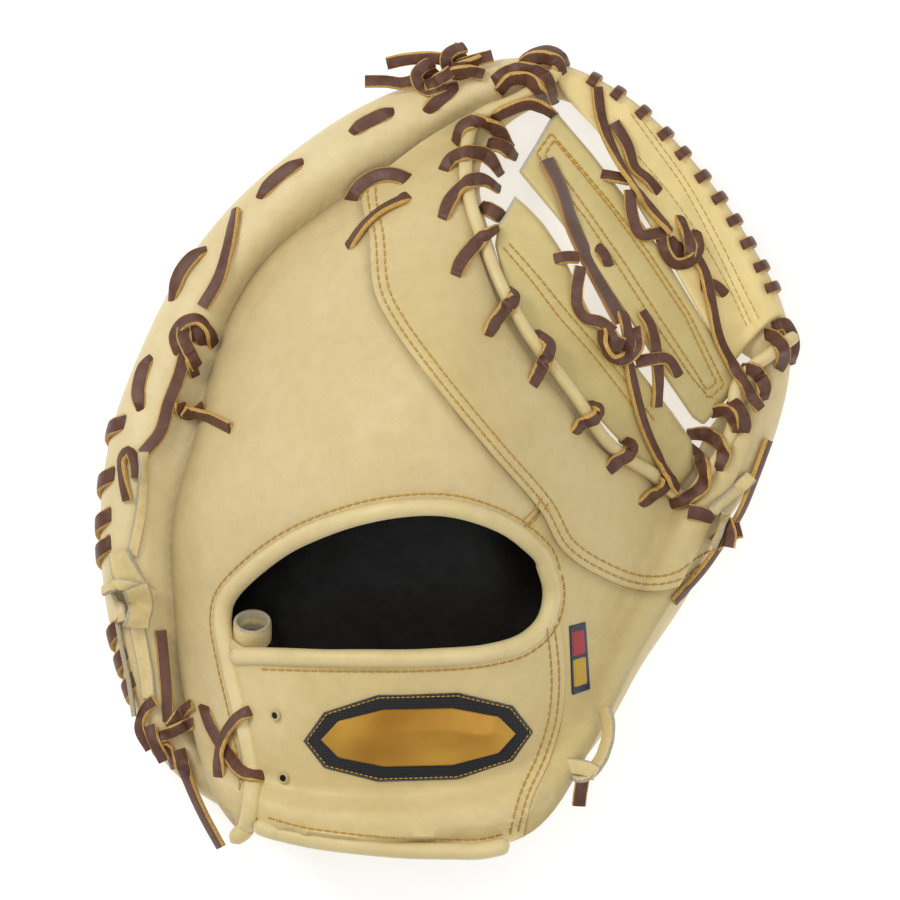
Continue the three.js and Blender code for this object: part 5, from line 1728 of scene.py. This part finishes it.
def make_seam_laces():
    upper = Strands()
    upper.lay(
        [(349, 201), (360, 184), (376, 174), (394, 173), (411, 180)],
        wide=6.4, roll=(24, 30, 16), dive=(5, 5), ease=4,
    )
    hand_in(upper.piece("seam_lacing_upper"), "lace_leather", "seam_lace_upper")
    lower = Strands()
    lower.lay(
        [(347, 249), (362, 226), (382, 208), (411, 194)],
        wide=6.4, roll=(-14, -20, -10), dive=(5, 5), ease=4,
    )
    hand_in(lower.piece("seam_lacing_lower"), "lace_leather", "seam_lace_lower")


def make_side_laces():
    side = Strands(wide=5.6)
    side.lay([(234, 207), (226, 248), (217, 278), (201, 306)], roll=(16, 26, 22), lift=0.3)
    side.lay([(185, 345), (177, 376), (167, 402), (158, 432), (141, 454)], roll=(22, 30, 26, 20), lift=0.3)
    side.lay([(188, 358), (193, 375)], wide=4.4, roll=12)
    side.lay(
        [(134, 478), (132, 462), (126, 451), (119, 458), (120, 478), (125, 501)],
        wide=4.6, roll=(10, 24, 30, 14), lift=0.4,
    )
    knot(side, (191, 338), 168, 1.0)
    hand_in(side.piece("side_lacing"), "lace_leather", "side_lace")
    tail = Strands(wide=5)
    tail.lay([(178, 402), (180, 412), (190, 414), (202, 406)], roll=(10, 30, 20), lift=1)
    tail.lay([(182, 411), (204, 416), (230, 428)], roll=(24, 30, 26), lift=0.6)
    hand_in(tail.piece("side_lacing_tail"), "lace_leather", "side_lace_tail")


def make_thong():
    thong = Strands(wide=4.2, thick=1.8)
    thong.lay([(141, 452), (141, 480), (138, 515), (130, 556)], roll=(-34, -24, -10, 0), wide=4.6)
    thong.lay([(133, 618), (139, 650), (144, 678), (146, 700)], wide=6.4, roll=(0, 12, 10))
    thong.lay([(113, 616), (119, 650), (126, 684), (131, 719)], wide=5, roll=(36, 44, 40))
    thong.lay([(116, 552), (122, 572), (132, 590)], wide=11.5, roll=(8, 0, -6), lift=0.8)
    thong.lay([(102, 586), (112, 604), (120, 622)], wide=9, roll=(20, 24, 12), lift=0.6)
    thong.lay([(100, 592), (116, 586), (134, 588), (152, 596)], wide=5, roll=(0, 10, 0), lift=1.2)
    thong.lay([(134, 588), (138, 606), (134, 628)], wide=11, roll=(-8, -14, -10), lift=1.6)
    hand_in(thong.piece("side_thong_pale", "thong"), "leather", "side_thong")


def make_strap_laces():
    under = Strands(wide=5.4)
    under.lay(
        [(202, 706), (209, 726), (222, 748), (242, 772), (264, 777)],
        roll=(-20, -26, -20, -10), dive=(5, 5), ease=4,
    )
    hand_in(under.piece("strap_lacing_under"), "lace_leather", "strap_lace_lower")
    over = Strands(wide=5.4)
    over.lay(
        [(255, 710), (240, 716), (226, 732), (218, 754), (219, 782)],
        roll=(10, 16, 20, 10), dive=(5, 5), ease=4,
    )
    hand_in(over.piece("strap_lacing_over"), "lace_leather", "strap_lace_upper")


def make_heel_laces():
    heel = Strands(wide=5)
    heel.lay([(158, 632), (161, 660), (164, 692), (166, 724)], roll=(22, 28, 22), lift=0.4)
    heel.lay([(190, 706), (178, 716), (168, 730)], roll=10, lift=0.2)
    heel.lay([(152, 702), (141, 714), (137, 732), (148, 752)], roll=(20, 26, 10), lift=0.8)
    heel.lay([(150, 756), (164, 750), (172, 772)], roll=14, lift=0.4)
    heel.lay([(176, 752), (186, 784), (201, 818), (219, 851)], wide=6, roll=(-4, 4, 8), lift=0.7)
    hand_in(heel.piece("heel_lacing"), "lace_leather", "heel_lace")
    wrap = Strands(wide=5.2)
    wrap.lay([(152, 742), (162, 738), (176, 731), (192, 725)], roll=(-10, -6, -6), lift=0.8, dive=(1, 2))
    wrap.lay([(146, 728), (152, 744), (162, 764)], roll=8, lift=0.4)
    hand_in(wrap.piece("heel_lacing_wrap"), "lace_leather", "heel_lace_wrap")


def make_thumb_laces():
    brown = Strands()
    brown.lay(
        [(772, 440), (758, 478), (744, 512), (728, 538), (706, 570), (676, 603)],
        roll=(-8, -14, -8), lift=0.2,
    )
    brown.lay([(690, 512), (702, 514), (716, 518)], wide=6.5, roll=10, lift=0.6, dive=(1, 0))
    brown.lay([(716, 545), (730, 534), (744, 530)], wide=7, roll=-10, lift=0.3)
    brown.lay([(728, 522), (732, 534), (730, 548)], wide=6, roll=12, lift=0.3)
    hand_in(brown.piece("thumb_lacing"), "lace_leather", "thumb_lace")
    pale = Strands(wide=5.6)
    pale.lay([(714, 512), (728, 500), (742, 488), (754, 477)], roll=(4, -6), lift=0.4, dive=(1.5, 1.5))
    pale.lay([(728, 512), (722, 532), (716, 546)], wide=4.2, roll=20, lift=0.2)
    hand_in(pale.piece("thumb_thong_pale", "thong"), "leather")


# The pale ring at the wrist with its toggle, and the loop inside the opening
def low_line(pixels, heights):
    """A line in the plan with its own heights in millimetres."""
    line = from_photo(pixels)
    path = spaced(np.column_stack((line, heights)), 0.9)
    return np.column_stack([blurred(path[:, axis], 2) for axis in range(3)])


def make_ring():
    """The pale loop at the wrist, its toggle and the brown end below it."""
    box_low, box_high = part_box("thumb_toggle")
    middle = float((box_low[2] + box_high[2]) / 2 * 1000 - OFFSET[2])
    top = max(top_at(*from_photo([(606, 716)])[0]), middle) - 1.5
    loop = [(604, 706), (609, 722), (608, 740), (602, 758), (592, 772), (580, 778), (572, 772)]
    drop = top - middle
    heights = [top, top - drop * 0.1, top - drop * 0.4, top - drop * 0.75, middle + 1, middle, middle - 1]
    path = low_line(loop, heights)
    ahead = directions(path)
    outward = np.column_stack((ahead[:, 1], -ahead[:, 0], np.zeros(len(path))))
    ring = Strands(wide=6.6, thick=1.9)
    ring.add(path, outward + (0, 0, 0.9))
    hand_in(ring.piece("wrist_ring", "thong"), "leather", "thumb_ring")
    end = low_line([(558, 764), (572, 766), (586, 768), (598, 774)], [middle + 2.5] * 4)
    toggle = Strands(wide=6.4, thick=2)
    toggle.add(end, np.tile((0.1, -0.2, 1), (len(end), 1)))
    hand_in(toggle.piece("wrist_toggle", "thong"), "leather", "thumb_toggle")
    tail_route = [(584, 770), (582, 784), (580, 796), (579, 807)]
    end = low_line(tail_route, [middle, middle, middle - 1, middle - 3])
    tail = Strands(wide=5.6)
    tail.add(end, np.tile((0.1, 0.2, 1), (len(end), 1)))
    hand_in(tail.piece("wrist_tail"), "lace_leather")


def make_finger_loop():
    """The small leather loop inside the opening, tilted so that its mouth shows."""
    box_low, box_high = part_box("finger_loop")
    middle = np.array((box_low + box_high) / 2) * 1000 - OFFSET
    size = np.array(box_high - box_low) * 1000
    lean = math.radians(38)
    path = []
    ups = []
    for a in np.radians(np.linspace(-96, 270, 42)):
        out = np.array((math.cos(a), -math.sin(a) * math.sin(lean), math.sin(a) * math.cos(lean)))
        path.append(middle + out * (size[2] / 2 - 1.2) * 0.86)
        ups.append(out)
    loop = Strands(wide=10, thick=1.6)
    loop.add(np.array(path), np.array(ups))
    hand_in(loop.piece("little_finger_loop", "thong"), "leather", "finger_loop")


make_camera()
make_floor()
make_lights()
make_palm()
make_lining()
make_back()
make_bindings()
make_welt()
make_strips()
make_patch()
make_tag()
make_eyelets()
make_back_stitching()
make_rim_laces()
make_welt_laces()
make_web_laces()
make_tip_laces()
make_seam_laces()
make_side_laces()
make_thong()
make_strap_laces()
make_heel_laces()
make_thumb_laces()
make_ring()
make_finger_loop()
